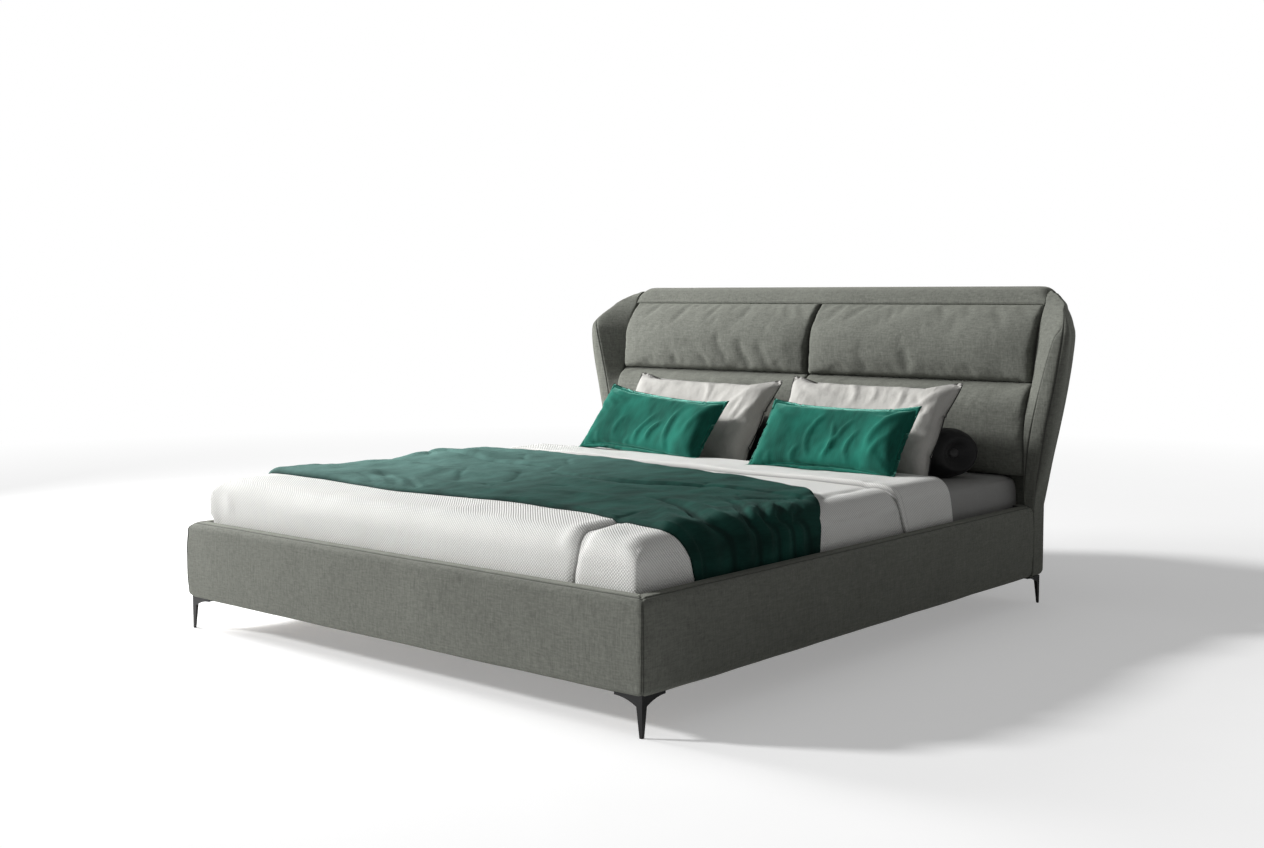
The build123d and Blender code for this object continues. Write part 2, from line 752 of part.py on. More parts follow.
def bolster():
    """Neck roll with puckered ends, and the button of its right end."""
    half = mattress_side - bolster_end_gap
    axis_height = sheet_top + soft_play + bolster_radius

    def spot(x, radius):
        return (x, y_of(mattress_back - bolster_gap), axis_height + radius)

    def end(side):
        seat = side * (half - bolster_dimple)
        rim = side * half
        shoulder = side * (half - bolster_end_round)
        mid_radius = bolster_radius - bolster_rim
        inner = ThreePointArc(
            spot(seat, button_radius),
            spot(seat + (rim - seat) * 0.75, (button_radius + mid_radius) / 2),
            spot(rim, mid_radius))
        outer = ThreePointArc(
            spot(rim, mid_radius),
            spot(shoulder + (rim - shoulder) * sqrt(0.5), mid_radius + bolster_rim * sqrt(0.5)),
            spot(shoulder, bolster_radius))
        return seat, inner, outer, shoulder

    right_seat, right_inner, right_outer, right_shoulder = end(1)
    left_seat, left_inner, left_outer, left_shoulder = end(-1)
    edges = [
        Line(spot(left_seat, 0), spot(left_seat, button_radius)), left_inner, left_outer,
        Line(spot(left_shoulder, bolster_radius), spot(right_shoulder, bolster_radius)),
        right_outer, right_inner,
        Line(spot(right_seat, button_radius), spot(right_seat, 0)),
        Line(spot(right_seat, 0), spot(left_seat, 0)),
    ]
    turn_axis = Axis(spot(0, 0), (1, 0, 0))
    roll = revolve(outline(edges), turn_axis, 360)
    cap = rod(spot(right_seat, 0), (1, 0, 0), button_radius - button_edge, button_height)
    cap = fillet(cap.faces().sort_by(Axis.X)[-1].edges(), button_edge + button_edge)
    return roll, cap


def build():
    """All nodes by name."""
    nodes = {}
    side_board, side_foam, side_cover = side_rail()
    foot_board, foot_foam, foot_cover = foot_rail()
    block_right = corner_block()
    foot_leg, foot_glide, foot_leg_bolts = corner_leg(0, 1)
    head_leg, head_glide, head_leg_bolts = corner_leg(base_back, -1)
    foot_leg = foot_leg - side_rail_solid(0) - foot_rail_solid(0)
    head_leg = head_leg & block(0, half_width, 0, overall_length, 0, leg_height)
    leg_bolt_solids = foot_leg_bolts + head_leg_bolts
    frame_bolt_solids = corner_block_bolts() + hook_bolts()
    cross_rail = block(-pad_side, pad_side, rail_end, base_back - panel_depth, leg_height, rail_top)
    bracket = hook_bracket()
    for fastener in frame_bolt_solids:
        side_board, foot_board = side_board - fastener, foot_board - fastener
        side_cover, foot_cover = side_cover - fastener, foot_cover - fastener
        block_right, bracket = block_right - fastener, bracket - fastener
        cross_rail = cross_rail - fastener - other_side(fastener)
        foot_board = foot_board - other_side(fastener)
        foot_cover = foot_cover - other_side(fastener)
    for fastener in leg_bolt_solids:
        foot_leg, head_leg = foot_leg - fastener, head_leg - fastener
        block_right = block_right - fastener
        cross_rail = cross_rail - fastener - other_side(fastener)
    nodes["foot_rail_board"] = foot_board
    nodes["foot_rail_foam"] = foot_foam
    nodes["foot_rail_cover"] = foot_cover
    nodes["head_cross_rail"] = cross_rail

    def pair(name, shape):
        nodes[name + "_right"] = shape
        nodes[name + "_left"] = other_side(shape)

    pair("side_rail_board", side_board)
    pair("side_rail_foam", side_foam)
    pair("side_rail_cover", side_cover)
    pair("slat_ledge", ledge())
    pair("corner_block", block_right)
    pair("rail_hook_bracket", bracket)
    pair("corner_leg_foot", foot_leg)
    pair("corner_leg_head", head_leg)
    glides = [foot_glide, head_glide]
    nodes["leg_glides"] = Compound(children=glides + [other_side(glide) for glide in glides])
    nodes["leg_bolts"] = Compound(
        children=leg_bolt_solids + [other_side(one) for one in leg_bolt_solids])
    nodes["frame_bolts"] = Compound(
        children=frame_bolt_solids + [other_side(one) for one in frame_bolt_solids])

    beam_low = slat_bottom - beam_height
    nodes["centre_beam"] = block(-beam_width / 2, beam_width / 2, rail_thickness, rail_end,
                                 beam_low, slat_bottom)
    nodes["beam_hanger_foot"] = hanger(rail_thickness, 1)
    nodes["beam_hanger_head"] = hanger(rail_end, -1)
    boards, tapes = slats()
    nodes["slats"] = Compound(children=boards)
    nodes["slat_tapes"] = Compound(children=tapes)
    for index in range(support_count):
        distance = mattress_front + mattress_length * (index + 1) / (support_count + 1)
        tube, foot = support(distance)
        nodes[f"centre_leg_{index + 1}"] = tube
        nodes[f"levelling_foot_{index + 1}"] = foot

    nodes["headboard_back_cover"] = leaning(back_cloth, 0, leg_height, frame_top,
                                            -pad_side, pad_side)
    nodes["headboard_back_board"] = leaning(back_skin, back_cloth, leg_height, frame_top,
                                            -pad_side, pad_side)
    front = back_skin + frame_timber
    pair("headboard_post", leaning(front, back_skin, leg_height, frame_top,
                                   pad_side - timber_width, pad_side))
    inner = pad_side - timber_width
    levels = {
        "headboard_top_rail": (frame_top - timber_width, frame_top),
        "headboard_middle_rail": (pad_split - timber_width, pad_split),
        "headboard_bottom_rail": (leg_height, leg_height + timber_width),
    }
    for name, (low, high) in levels.items():
        nodes[name] = leaning(front, back_skin, low, high, -inner, inner)
    nodes["headboard_panel"] = leaning(panel_depth, front, leg_height, frame_top,
                                       -pad_side, pad_side)
    upper, lower = pads()
    pair("upper_pad", upper)
    pair("lower_pad", lower)
    nodes["headboard_border"] = border()
    wing_body, wing_board = wing()
    pair("wing", wing_body)
    pair("wing_board", wing_board)

    body, sheet, sheet_form = dressed_mattress()
    nodes["mattress"] = body
    nodes["fitted_sheet"] = sheet
    cover = coverlet(sheet_form)
    nodes["coverlet"] = cover
    nodes["throw"] = throw(cover)
    roll, button = bolster()
    nodes["bolster"] = roll
    pair("bolster_button", button)
    white = (white_pillow_width, white_pillow_height, white_pillow_thickness)
    green = (green_pillow_width, green_pillow_height, green_pillow_thickness)
    upright = cos(radians(pillow_tilt))
    height = sheet_top + soft_play + (white_pillow_height / 2 - pillow_edge) * upright
    for side, middle_x, distance, roll_angle, sink in [
            ("right", mattress_side - white_right_inset, mattress_back - white_right_gap, 0.0, 0.0),
            ("left", white_left_inset - mattress_side, mattress_back - white_left_gap,
             white_left_roll, white_left_sink)]:
        shape = placed_pillow(white, middle_x, distance, height - sink, roll_angle)
        nodes["white_pillow_" + side] = shape - roll - cover - sheet_form
    height = coverlet_top + fold_rise + (green_pillow_height / 2 - pillow_draw) * upright
    for side, middle_x, distance, roll_angle in [
            ("right", mattress_side - green_right_inset, mattress_back - green_right_gap, 0.0),
            ("left", green_left_inset - mattress_side, mattress_back - green_left_gap,
             green_left_roll)]:
        shape = placed_pillow(green, middle_x, distance, height, roll_angle)
        nodes["green_pillow_" + side] = shape - cover - nodes["white_pillow_" + side]
    return nodes


os.makedirs("parts", exist_ok=True)
for node_name, node_shape in build().items():
    export_step(node_shape, f"parts/{node_name}.step")
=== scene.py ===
"""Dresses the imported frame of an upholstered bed: padded rails, winged headboard, bedding.

All lengths are metres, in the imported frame: +Y towards the headboard, +X to the right of
somebody who stands at the foot, +Z up, and the floor at zero.
"""

from __future__ import annotations

import json
import logging
import math
from dataclasses import dataclass
from enum import Enum
from typing import Sequence

import bmesh
import bpy
import numpy as np
from mathutils import Matrix, Vector
from mathutils.bvhtree import BVHTree

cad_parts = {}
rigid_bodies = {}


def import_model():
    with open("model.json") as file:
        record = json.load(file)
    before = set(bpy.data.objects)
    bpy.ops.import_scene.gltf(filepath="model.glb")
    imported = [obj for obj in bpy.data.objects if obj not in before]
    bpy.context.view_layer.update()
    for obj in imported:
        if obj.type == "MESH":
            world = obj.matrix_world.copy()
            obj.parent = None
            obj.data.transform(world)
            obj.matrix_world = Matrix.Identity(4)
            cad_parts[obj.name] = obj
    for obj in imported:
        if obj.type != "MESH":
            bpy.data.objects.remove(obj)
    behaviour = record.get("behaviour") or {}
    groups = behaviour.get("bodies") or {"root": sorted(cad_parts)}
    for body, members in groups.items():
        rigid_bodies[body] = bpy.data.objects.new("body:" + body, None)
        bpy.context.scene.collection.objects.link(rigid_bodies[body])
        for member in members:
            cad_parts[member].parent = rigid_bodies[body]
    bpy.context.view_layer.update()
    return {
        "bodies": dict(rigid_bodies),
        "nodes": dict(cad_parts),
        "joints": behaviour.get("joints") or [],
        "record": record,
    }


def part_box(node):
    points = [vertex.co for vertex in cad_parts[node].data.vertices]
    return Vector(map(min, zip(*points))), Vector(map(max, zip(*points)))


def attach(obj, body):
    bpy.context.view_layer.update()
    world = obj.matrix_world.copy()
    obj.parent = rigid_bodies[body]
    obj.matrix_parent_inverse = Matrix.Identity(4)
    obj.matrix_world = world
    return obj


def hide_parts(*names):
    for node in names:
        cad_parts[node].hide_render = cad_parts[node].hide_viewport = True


Array = np.ndarray
Material = bpy.types.Material
Piece = bpy.types.Object
Socket = bpy.types.NodeSocket
Triple = tuple[float, float, float]

LOG = logging.getLogger("bed")
ROOT = "root"

# Stitches of the upholstery's seams
STITCH_PITCH = 0.0085
STITCH_LENGTH = 0.0065
STITCH_RADIUS = 0.0005

# How far the coverlet's cloth lies under its node's top, and the gap from bedding to rails
COVER_SINK = 0.013
RAIL_GAP = 0.0012

# How far off a pillow finds what it presses on, and how far that may push its points
PRESS_REACH = 0.30
PRESS_MOST = 0.16

WHITE = (1.0, 1.0, 1.0, 1.0)


class Side(Enum):
    """The two sides of the bed, with the sign of their X."""

    RIGHT = 1
    LEFT = -1

    @property
    def word(self) -> str:
        """Ending of the names of that side's nodes."""
        return self.name.lower()


class Face(Enum):
    """Faces of a box lattice, as the axis and the end of it."""

    TOP = (2, 1)
    BOTTOM = (2, 0)
    FOOT = (1, 0)
    HEAD = (1, 1)
    LEFT = (0, 0)
    RIGHT = (0, 1)


class Motif(Enum):
    """Small things that a path repeats."""

    STITCH = "stitch"
    STAPLE = "staple"


class Weave(Enum):
    """Where a cloth's pattern is read from."""

    SPACE = "space"
    CLOTH = "cloth"


# Shape helpers


def eased(value: Array | float, low: float, high: float) -> Array:
    """Smooth step.

    Args:
        value: Where to read it.
        low: Below this it is 0.
        high: Above this it is 1.

    Returns:
        Values from 0 to 1.
    """
    share = np.clip((value - low) / (high - low), 0.0, 1.0)
    return share * share * (3.0 - 2.0 * share)


def recess(distance: Array, radius: float) -> Array:
    """Depth by which a rounded edge falls away.

    Args:
        distance: Distance in from the edge.
        radius: Radius of the rounding.

    Returns:
        Depth, the radius at the edge itself and 0 past the rounding.
    """
    short = np.clip(radius - distance, 0.0, radius)
    return radius - np.sqrt(np.maximum(radius * radius - short * short, 0.0))


def spline(knots: Sequence[Sequence[float]], count: int) -> Array:
    """Points along a smooth curve through knots.

    Args:
        knots: The points that it passes through.
        count: Number of points to give.

    Returns:
        Array of count points.
    """
    marks = np.asarray(knots, float)
    marks = np.vstack([2 * marks[0] - marks[1], marks, 2 * marks[-1] - marks[-2]])
    spans = len(marks) - 3
    run = np.linspace(0, spans, count)
    index = np.minimum(run.astype(int), spans - 1)
    share = (run - index)[:, None]
    a, b, c, d = (marks[index + step] for step in range(4))
    return 0.5 * (2 * b + (c - a) * share + (2 * a - 5 * b + 4 * c - d) * share ** 2
                  + (3 * b - a - 3 * c + d) * share ** 3)


def rounding(share: Array) -> Array:
    """Height of a quarter circle, from 0 where the share is 0 up to 1 where it is 1."""
    return np.sqrt(np.clip(1 - (1 - np.clip(share, 0, 1)) ** 2, 0, 1))


@dataclass(frozen=True)
class Ripple:
    """Seeded field of soft overlapping waves, mostly between -1 and 1."""

    wavelength: float
    seed: int
    count: int = 18

    def at(self, points: Array) -> Array:
        """Field at points.

        Args:
            points: Array of points with any number of axes.

        Returns:
            One value a point.
        """
        rng = np.random.default_rng(self.seed)
        heading = rng.normal(size=(self.count, points.shape[1]))
        heading /= np.linalg.norm(heading, axis=1, keepdims=True)
        heading *= 2 * math.pi / (self.wavelength * rng.uniform(0.6, 1.7, (self.count, 1)))
        phase = rng.uniform(0, 2 * math.pi, self.count)
        return np.sin(points @ heading.T + phase).sum(1) / math.sqrt(2 * self.count)


@dataclass(frozen=True)
class Fold:
    """Ridge in cloth along a line, or a dent where height is negative."""

    path: tuple[tuple[float, float], ...]
    height: float
    width: float
    taper: float = 0.35
    sharp: bool = False

    def over(self, flat: Array) -> Array:
        """Height of the fold at points of the cloth.

        Args:
            flat: Array of points on the cloth, two numbers each.

        Returns:
            One height a point.
        """
        line = spline(self.path, 7 * len(self.path))
        reach = 3.5 * self.width
        near = np.all((flat > line.min(0) - reach) & (flat < line.max(0) + reach), axis=1)
        height = np.zeros(len(flat))
        start, step = line[:-1], np.diff(line, axis=0)
        offset = flat[near][:, None, :] - start[None]
        share = np.clip((offset * step).sum(-1) / (step ** 2).sum(-1), 0.0, 1.0)
        gap = np.linalg.norm(offset - share[..., None] * step, axis=-1)
        best = gap.argmin(1)
        rows = np.arange(len(best))
        run = (best + share[rows, best]) / len(step)
        fade = eased(np.minimum(run, 1 - run), 0.0, self.taper)
        spread = gap[rows, best] / self.width
        height[near] = self.height * fade * np.exp(-spread if self.sharp else -spread ** 2)
        return height


def relief(flat: Array, folds: Sequence[Fold]) -> Array:
    """Sum of the folds at points of the cloth.

    Args:
        flat: Array of points on the cloth, two numbers each.
        folds: The folds.

    Returns:
        One height a point.
    """
    total = np.zeros(len(flat))
    for fold in folds:
        total += fold.over(flat)
    return total


def loft(rings: Array) -> tuple[Array, list[tuple[int, ...]]]:
    """Closed skin over rings of points, with a fan over each end.

    Args:
        rings: Array of rings, of points a ring, of three numbers.

    Returns:
        Points and faces.
    """
    stations, around, _ = rings.shape
    index = np.arange(stations * around).reshape(stations, around)
    turned = np.roll(index, -1, axis=1)
    quads = np.stack([index[:-1], turned[:-1], turned[1:], index[1:]], -1).reshape(-1, 4)
    points = np.vstack([rings.reshape(-1, 3), rings[0].mean(0), rings[-1].mean(0)])
    first, last = stations * around, stations * around + 1
    faces = [tuple(quad) for quad in quads.tolist()]
    for k in range(around):
        faces.append((first, int(turned[0, k]), int(index[0, k])))
        faces.append((last, int(index[-1, k]), int(turned[-1, k])))
    return points, faces


def box_lattice(axes: Sequence[Array], skipped: Sequence[Face]
                ) -> tuple[Array, list[tuple[int, ...]]]:
    """Joined grids over the faces of a box.

    Args:
        axes: Coordinates of the lattice along X, Y and Z.
        skipped: Faces that stay open.

    Returns:
        Points and faces.
    """
    found: dict[tuple[int, int, int], int] = {}
    faces: list[tuple[int, ...]] = []

    def corner(place: list[int]) -> int:
        """Number of a lattice point, which it gets when first used."""
        return found.setdefault(tuple(place), len(found))

    for face in Face:
        if face in skipped:
            continue
        fixed, end = face.value
        one, two = [axis for axis in range(3) if axis != fixed]
        level = (len(axes[fixed]) - 1) * end
        for i in range(len(axes[one]) - 1):
            for j in range(len(axes[two]) - 1):
                ring = []
                for step_one, step_two in ((0, 0), (1, 0), (1, 1), (0, 1)):
                    place = [0, 0, 0]
                    place[fixed], place[one], place[two] = level, i + step_one, j + step_two
                    ring.append(corner(place))
                flip = (end == 1) == (fixed == 1)
                faces.append(tuple(reversed(ring)) if flip else tuple(ring))
    places = np.array(list(found))
    points = np.stack([axes[k][places[:, k]] for k in range(3)], 1).astype(float)
    return points, faces


def edge_list(faces: Sequence[tuple[int, ...]]) -> Array:
    """Each edge of some faces once, as pairs of point numbers."""
    pairs = {tuple(sorted((face[k - 1], face[k]))) for face in faces for k in range(len(face))}
    return np.array(sorted(pairs))


def relaxed(points: Array, edges: Array, freedom: Array, rounds: int) -> Array:
    """Points drawn towards their neighbours, which rounds a form's edges.

    Args:
        points: The points.
        edges: Pairs of neighbours.
        freedom: Share of the way that each point may go in a round.
        rounds: Number of rounds.

    Returns:
        The moved points.
    """
    one, two = np.concatenate([edges, edges[:, ::-1]]).T
    degree = np.bincount(one, minlength=len(points))[:, None]
    moved = points.copy()
    for _ in range(rounds):
        total = np.stack([np.bincount(one, moved[two, k], len(points)) for k in range(3)], 1)
        moved += freedom[:, None] * (total / degree - moved)
    return moved


def steps(low: float, high: float, pitch: float, fine: Sequence[float] = ()) -> Array:
    """Even coordinates from low to high, with closer ones by both ends.

    Args:
        low: First coordinate.
        high: Last coordinate.
        pitch: Distance between the even ones.
        fine: Distances from each end that get a coordinate as well.

    Returns:
        Sorted coordinates.
    """
    start, stop = (low + fine[-1], high - fine[-1]) if fine else (low, high)
    count = max(2, int(round((stop - start) / pitch)) + 1)
    even = np.linspace(start, stop, count)
    near = [low + gap for gap in fine[:-1]]
    far = [high - gap for gap in reversed(fine[:-1])]
    return np.array(sorted([*near, *even, *far]))


def turn_outwards(mesh: bpy.types.Mesh) -> None:
    """Turns a mesh's faces outwards.

    Args:
        mesh: Closed mesh, which is changed.
    """
    work = bmesh.new()
    work.from_mesh(mesh)
    bmesh.ops.recalc_face_normals(work, faces=work.faces)
    work.to_mesh(mesh)
    work.free()


def mesh_piece(name: str, points: Array, faces: Sequence[tuple[int, ...]],
               closed: bool = True) -> Piece:
    """Smooth-shaded piece at the origin.

    Args:
        name: The piece's name.
        points: Its points.
        faces: Its faces.
        closed: Whether it is a closed form, whose faces are then turned outwards.

    Returns:
        The new object.
    """
    mesh = bpy.data.meshes.new(name)
    mesh.from_pydata(np.asarray(points, float).tolist(), [], list(faces))
    if closed:
        turn_outwards(mesh)
    mesh.polygons.foreach_set("use_smooth", [True] * len(mesh.polygons))
    mesh.update()
    piece = bpy.data.objects.new(name, mesh)
    bpy.context.scene.collection.objects.link(piece)
    return piece


def coordinates(mesh: bpy.types.Mesh) -> Array:
    """Reads the points of a mesh.

    Args:
        mesh: The mesh.

    Returns:
        Array of points.
    """
    flat = np.zeros(len(mesh.vertices) * 3)
    mesh.vertices.foreach_get("co", flat)
    return flat.reshape(-1, 3)


def move_points(piece: Piece, points: Array) -> None:
    """Puts a piece's points at new places."""
    piece.data.vertices.foreach_set("co", np.asarray(points, float).ravel())
    piece.data.update()


def mark(piece: Piece, name: str, values: Array) -> None:
    """Keeps one number a point on a piece, for its finish to read.

    Args:
        piece: The piece.
        name: The attribute's name.
        values: One number a point.
    """
    held = piece.data.attributes.new(name, "FLOAT", "POINT")
    held.data.foreach_set("value", np.asarray(values, np.float32))


def mark_loft(piece: Piece, name: str, values: Array, ends: float = 0.0) -> None:
    """Keeps one number a point on a lofted piece, and one for the middles of its ends."""
    mark(piece, name, np.append(values.ravel(), [ends, ends]))


def mark_cloth(piece: Piece, flat: Array) -> None:
    """Keeps each point's place on the flat cloth, for its finish to read.

    Args:
        piece: The piece.
        flat: Array of places in metres, one a point.
    """
    held = piece.data.attributes.new("cloth", "FLOAT_VECTOR", "POINT")
    full = np.zeros((len(flat), 3), np.float32)
    full[:, :flat.shape[1]] = flat
    held.data.foreach_set("vector", full.ravel())


def baked(piece: Piece) -> Piece:
    """Turns a piece's modifiers into plain mesh.

    Args:
        piece: The piece.

    Returns:
        The same piece.
    """
    graph = bpy.context.evaluated_depsgraph_get()
    mesh = bpy.data.meshes.new_from_object(piece.evaluated_get(graph))
    piece.modifiers.clear()
    old = piece.data
    piece.data = mesh
    bpy.data.meshes.remove(old)
    mesh.name = piece.name
    return piece


def tree_of(*pieces: Piece) -> BVHTree:
    """Search tree over the faces of one or more pieces.

    Args:
        *pieces: The pieces.

    Returns:
        The tree.
    """
    points: list[Vector] = []
    faces: list[tuple[int, ...]] = []
    for piece in pieces:
        base = len(points)
        points += [vertex.co.copy() for vertex in piece.data.vertices]
        faces += [tuple(base + k for k in face.vertices) for face in piece.data.polygons]
    return BVHTree.FromPolygons(points, faces)


def depth_hits(tree: BVHTree, starts: Array, heading: Array, reach: float) -> Array:
    """Distance from each start to a surface.

    Args:
        tree: The surface.
        starts: Points that the rays leave from.
        heading: One direction for all rays, or one a ray.
        reach: Longest distance.

    Returns:
        Distances, and infinity where nothing is hit.
    """
    ways = np.broadcast_to(heading, starts.shape)
    found = np.full(len(starts), np.inf)
    for k, (start, way) in enumerate(zip(starts, ways)):
        gap = tree.ray_cast(Vector(start), Vector(way), reach)[3]
        if gap is not None:
            found[k] = gap
    return found


# Cloth simulation


@dataclass(frozen=True)
class Filling:
    """How a closed cloth piece is blown up by what it holds."""

    pressure: float = 3.0
    slack: float = 0.04
    frames: int = 16
    cap: float = 0.03
    mass: float = 0.08
    tension: float = 12.0
    bending: float = 0.6

    def swell(self, piece: Piece, held: Sequence[int] = ()) -> None:
        """Runs the cloth on a piece and keeps its result.

        Args:
            piece: Closed piece, whose points move.
            held: Numbers of the points that stay.
        """
        before = coordinates(piece.data)
        cloth = piece.modifiers.new("filling", "CLOTH")
        settings = cloth.settings
        settings.quality = 4
        settings.mass = self.mass
        settings.tension_stiffness = settings.compression_stiffness = self.tension
        settings.shear_stiffness = self.tension / 2
        settings.bending_stiffness = self.bending
        settings.use_pressure = True
        settings.uniform_pressure_force = self.pressure
        settings.shrink_min = -self.slack
        settings.effector_weights.gravity = 0.0
        cloth.collision_settings.use_collision = False
        if len(held):
            group = piece.vertex_groups.new(name="held")
            group.add([int(k) for k in held], 1.0, "REPLACE")
            settings.vertex_group_mass = "held"
        cloth.point_cache.frame_start = 1
        cloth.point_cache.frame_end = self.frames
        for frame in range(1, self.frames + 1):
            bpy.context.scene.frame_set(frame)
        shown = piece.evaluated_get(bpy.context.evaluated_depsgraph_get())
        after = coordinates(shown.to_mesh())
        shown.to_mesh_clear()
        piece.modifiers.clear()
        piece.vertex_groups.clear()
        bpy.context.scene.frame_set(1)
        move = after - before
        size = np.linalg.norm(move, axis=1, keepdims=True)
        limit = self.cap * np.tanh(size / self.cap) / np.maximum(size, 1e-9)
        move_points(piece, before + move * limit)


# Finishes


class Network:
    """Node tree that is written node by node."""

    def __init__(self, tree: bpy.types.NodeTree, family: str = "") -> None:
        """Takes an empty tree, and the first word of the types of all its nodes."""
        self.tree = tree
        self.family = family

    def node(self, kind: str, feeds: dict | None = None, **settings: object) -> bpy.types.Node:
        """Adds a node.

        Args:
            kind: Blender's name of the node type, without the family's word.
            feeds: Input name or number to a socket or a plain value.
            **settings: The node's own properties.

        Returns:
            The node.
        """
        made = self.tree.nodes.new(self.family + kind)
        for name, value in settings.items():
            setattr(made, name, value)
        for key, value in (feeds or {}).items():
            if isinstance(value, Socket):
                self.tree.links.new(value, made.inputs[key])
            else:
                made.inputs[key].default_value = value
        return made


class Graph(Network):
    """Short way to write a node material."""

    def __init__(self, name: str) -> None:
        """Starts an empty material.

        Args:
            name: The material's name.
        """
        self.material = bpy.data.materials.new(name)
        self.material.use_nodes = True
        super().__init__(self.material.node_tree, "ShaderNode")
        self.tree.nodes.clear()

    def place(self, weave: Weave = Weave.SPACE) -> Socket:
        """Where the pattern is read.

        Args:
            weave: In space, or on the piece's own cloth.

        Returns:
            Socket of the place.
        """
        if weave is Weave.CLOTH:
            return self.node("Attribute", attribute_name="cloth").outputs["Vector"]
        return self.node("TexCoord").outputs["Object"]

    def scaled(self, place: Socket, scale: Triple) -> Socket:
        """Place stretched by a scale."""
        return self.node("Mapping", {"Vector": place, "Scale": scale}).outputs["Vector"]

    def noise(self, place: Socket, scale: float, detail: float = 2.0,
              rough: float = 0.5) -> Socket:
        """Noise from 0 to 1."""
        feeds = {"Vector": place, "Scale": scale, "Detail": detail, "Roughness": rough}
        return self.node("TexNoise", feeds).outputs[0]

    def bands(self, place: Socket, scale: float, wobble: float) -> Socket:
        """Slanting soft ribs.

        Args:
            place: Where they are read.
            scale: How close they are.
            wobble: How uneven they are.

        Returns:
            Socket with values from 0 to 1.
        """
        feeds = {"Vector": place, "Scale": scale, "Distortion": wobble,
                 "Detail": 1.0, "Detail Scale": 1.5}
        return self.node("TexWave", feeds, wave_type="BANDS",
                         bands_direction="DIAGONAL").outputs["Fac"]

    def marked(self, name: str) -> Socket:
        """Number that the piece keeps at each point under that name."""
        return self.node("Attribute", attribute_name=name).outputs["Fac"]

    def product(self, one: object, two: object) -> Socket:
        """One times two."""
        return self.node("Math", {0: one, 1: two}, operation="MULTIPLY").outputs[0]

    def sum_of(self, *terms: tuple[Socket, float]) -> Socket:
        """Weighted sum.

        Args:
            *terms: Pairs of a socket and its weight.

        Returns:
            Socket of the sum.
        """
        total = None
        for socket, weight in terms:
            part = self.product(socket, weight)
            total = part if total is None else self.node(
                "Math", {0: total, 1: part}, operation="ADD").outputs[0]
        return total

    def between(self, share: Socket, low: float, high: float) -> Socket:
        """Share spread from 0 at low to 1 at high."""
        feeds = {"Value": share, "From Min": low, "From Max": high}
        return self.node("MapRange", feeds).outputs["Result"]

    def mixed(self, share: object, one: object, two: object) -> Socket:
        """Colour between one and two."""
        return self.node("Mix", {0: share, 6: one, 7: two}, data_type="RGBA").outputs[2]

    def toned(self, share: object, color: Sequence[float], dark: float, pale: float) -> Socket:
        """Colour times dark where the share is 0, up to times pale where it is 1."""
        return self.mixed(share, rgba(color, dark), rgba(color, pale))

    def with_painted_seam_shade(self, shown: object, color: Sequence[float], dark: float) -> Socket:
        """Shown colour, darkened towards the colour times dark by the painted shade that the
        piece marks in seams, creases, gaps and under edges.
        """
        # The seam attribute holds painted shade: darkening in seam grooves, creases, gaps
        # between parts and under edges.
        return self.mixed(self.marked("seam"), shown, rgba(color, dark))

    def finish(self, color: object, roughness: object, height: object = None,
               rise: float = 0.001, fixed: dict | None = None) -> Material:
        """Closes the material with its surface.

        Args:
            color: Base colour, or a socket.
            roughness: Roughness, or a socket.
            height: Socket for the relief, if any.
            rise: Height of the relief in metres.
            fixed: Other inputs of the surface, as plain values.

        Returns:
            The material.
        """
        feeds = {"Base Color": color, "Roughness": roughness, **(fixed or {})}
        if height is not None:
            bump = self.node("Bump", {"Height": height, "Distance": rise, "Strength": 1.0})
            feeds["Normal"] = bump.outputs["Normal"]
        shader = self.node("BsdfPrincipled", feeds)
        self.node("OutputMaterial", {"Surface": shader.outputs[0]})
        return self.material


def rgba(color: Sequence[float], gain: float = 1.0) -> tuple[float, float, float, float]:
    """Colour times a gain, with full alpha."""
    return (*[min(1.0, part * gain) for part in color], 1.0)


@dataclass(frozen=True)
class Melange:
    """Woven upholstery of mixed threads."""

    name: str = "melange upholstery"
    color: Triple = (0.124, 0.128, 0.112)

    def build(self) -> Material:
        """Builds it.

        Returns:
            The material.
        """
        graph = Graph(self.name)
        place = graph.place()
        upright = graph.noise(graph.scaled(place, (1.0, 1.0, 0.14)), 210.0, 3.0, 0.65)
        level = graph.noise(graph.scaled(place, (0.14, 0.14, 1.0)), 230.0, 3.0, 0.65)
        slub = graph.noise(graph.scaled(place, (1.0, 1.0, 0.3)), 80.0, 2.0, 0.5)
        mottle = graph.noise(place, 120.0, 3.0, 0.6)
        cloud = graph.noise(place, 4.0, 2.0, 0.5)
        tone = graph.sum_of((upright, 0.27), (level, 0.32), (slub, 0.10), (mottle, 0.21),
                            (cloud, 0.10))
        color = graph.toned(graph.between(tone, 0.36, 0.64), self.color, 0.62, 1.38)
        # Painted shade in the seam grooves, gaps between parts and shaded strips that the piece
        # marks.
        color = graph.with_painted_seam_shade(color, self.color, 0.22)
        height = graph.sum_of((upright, 0.5), (level, 0.5), (mottle, 0.4))
        fixed = {"Sheen Weight": 0.75, "Sheen Roughness": 0.55, "Specular IOR Level": 0.2,
                 "Sheen Tint": rgba(self.color, 3.0)}
        return graph.finish(color, 0.92, height, 0.0016, fixed)


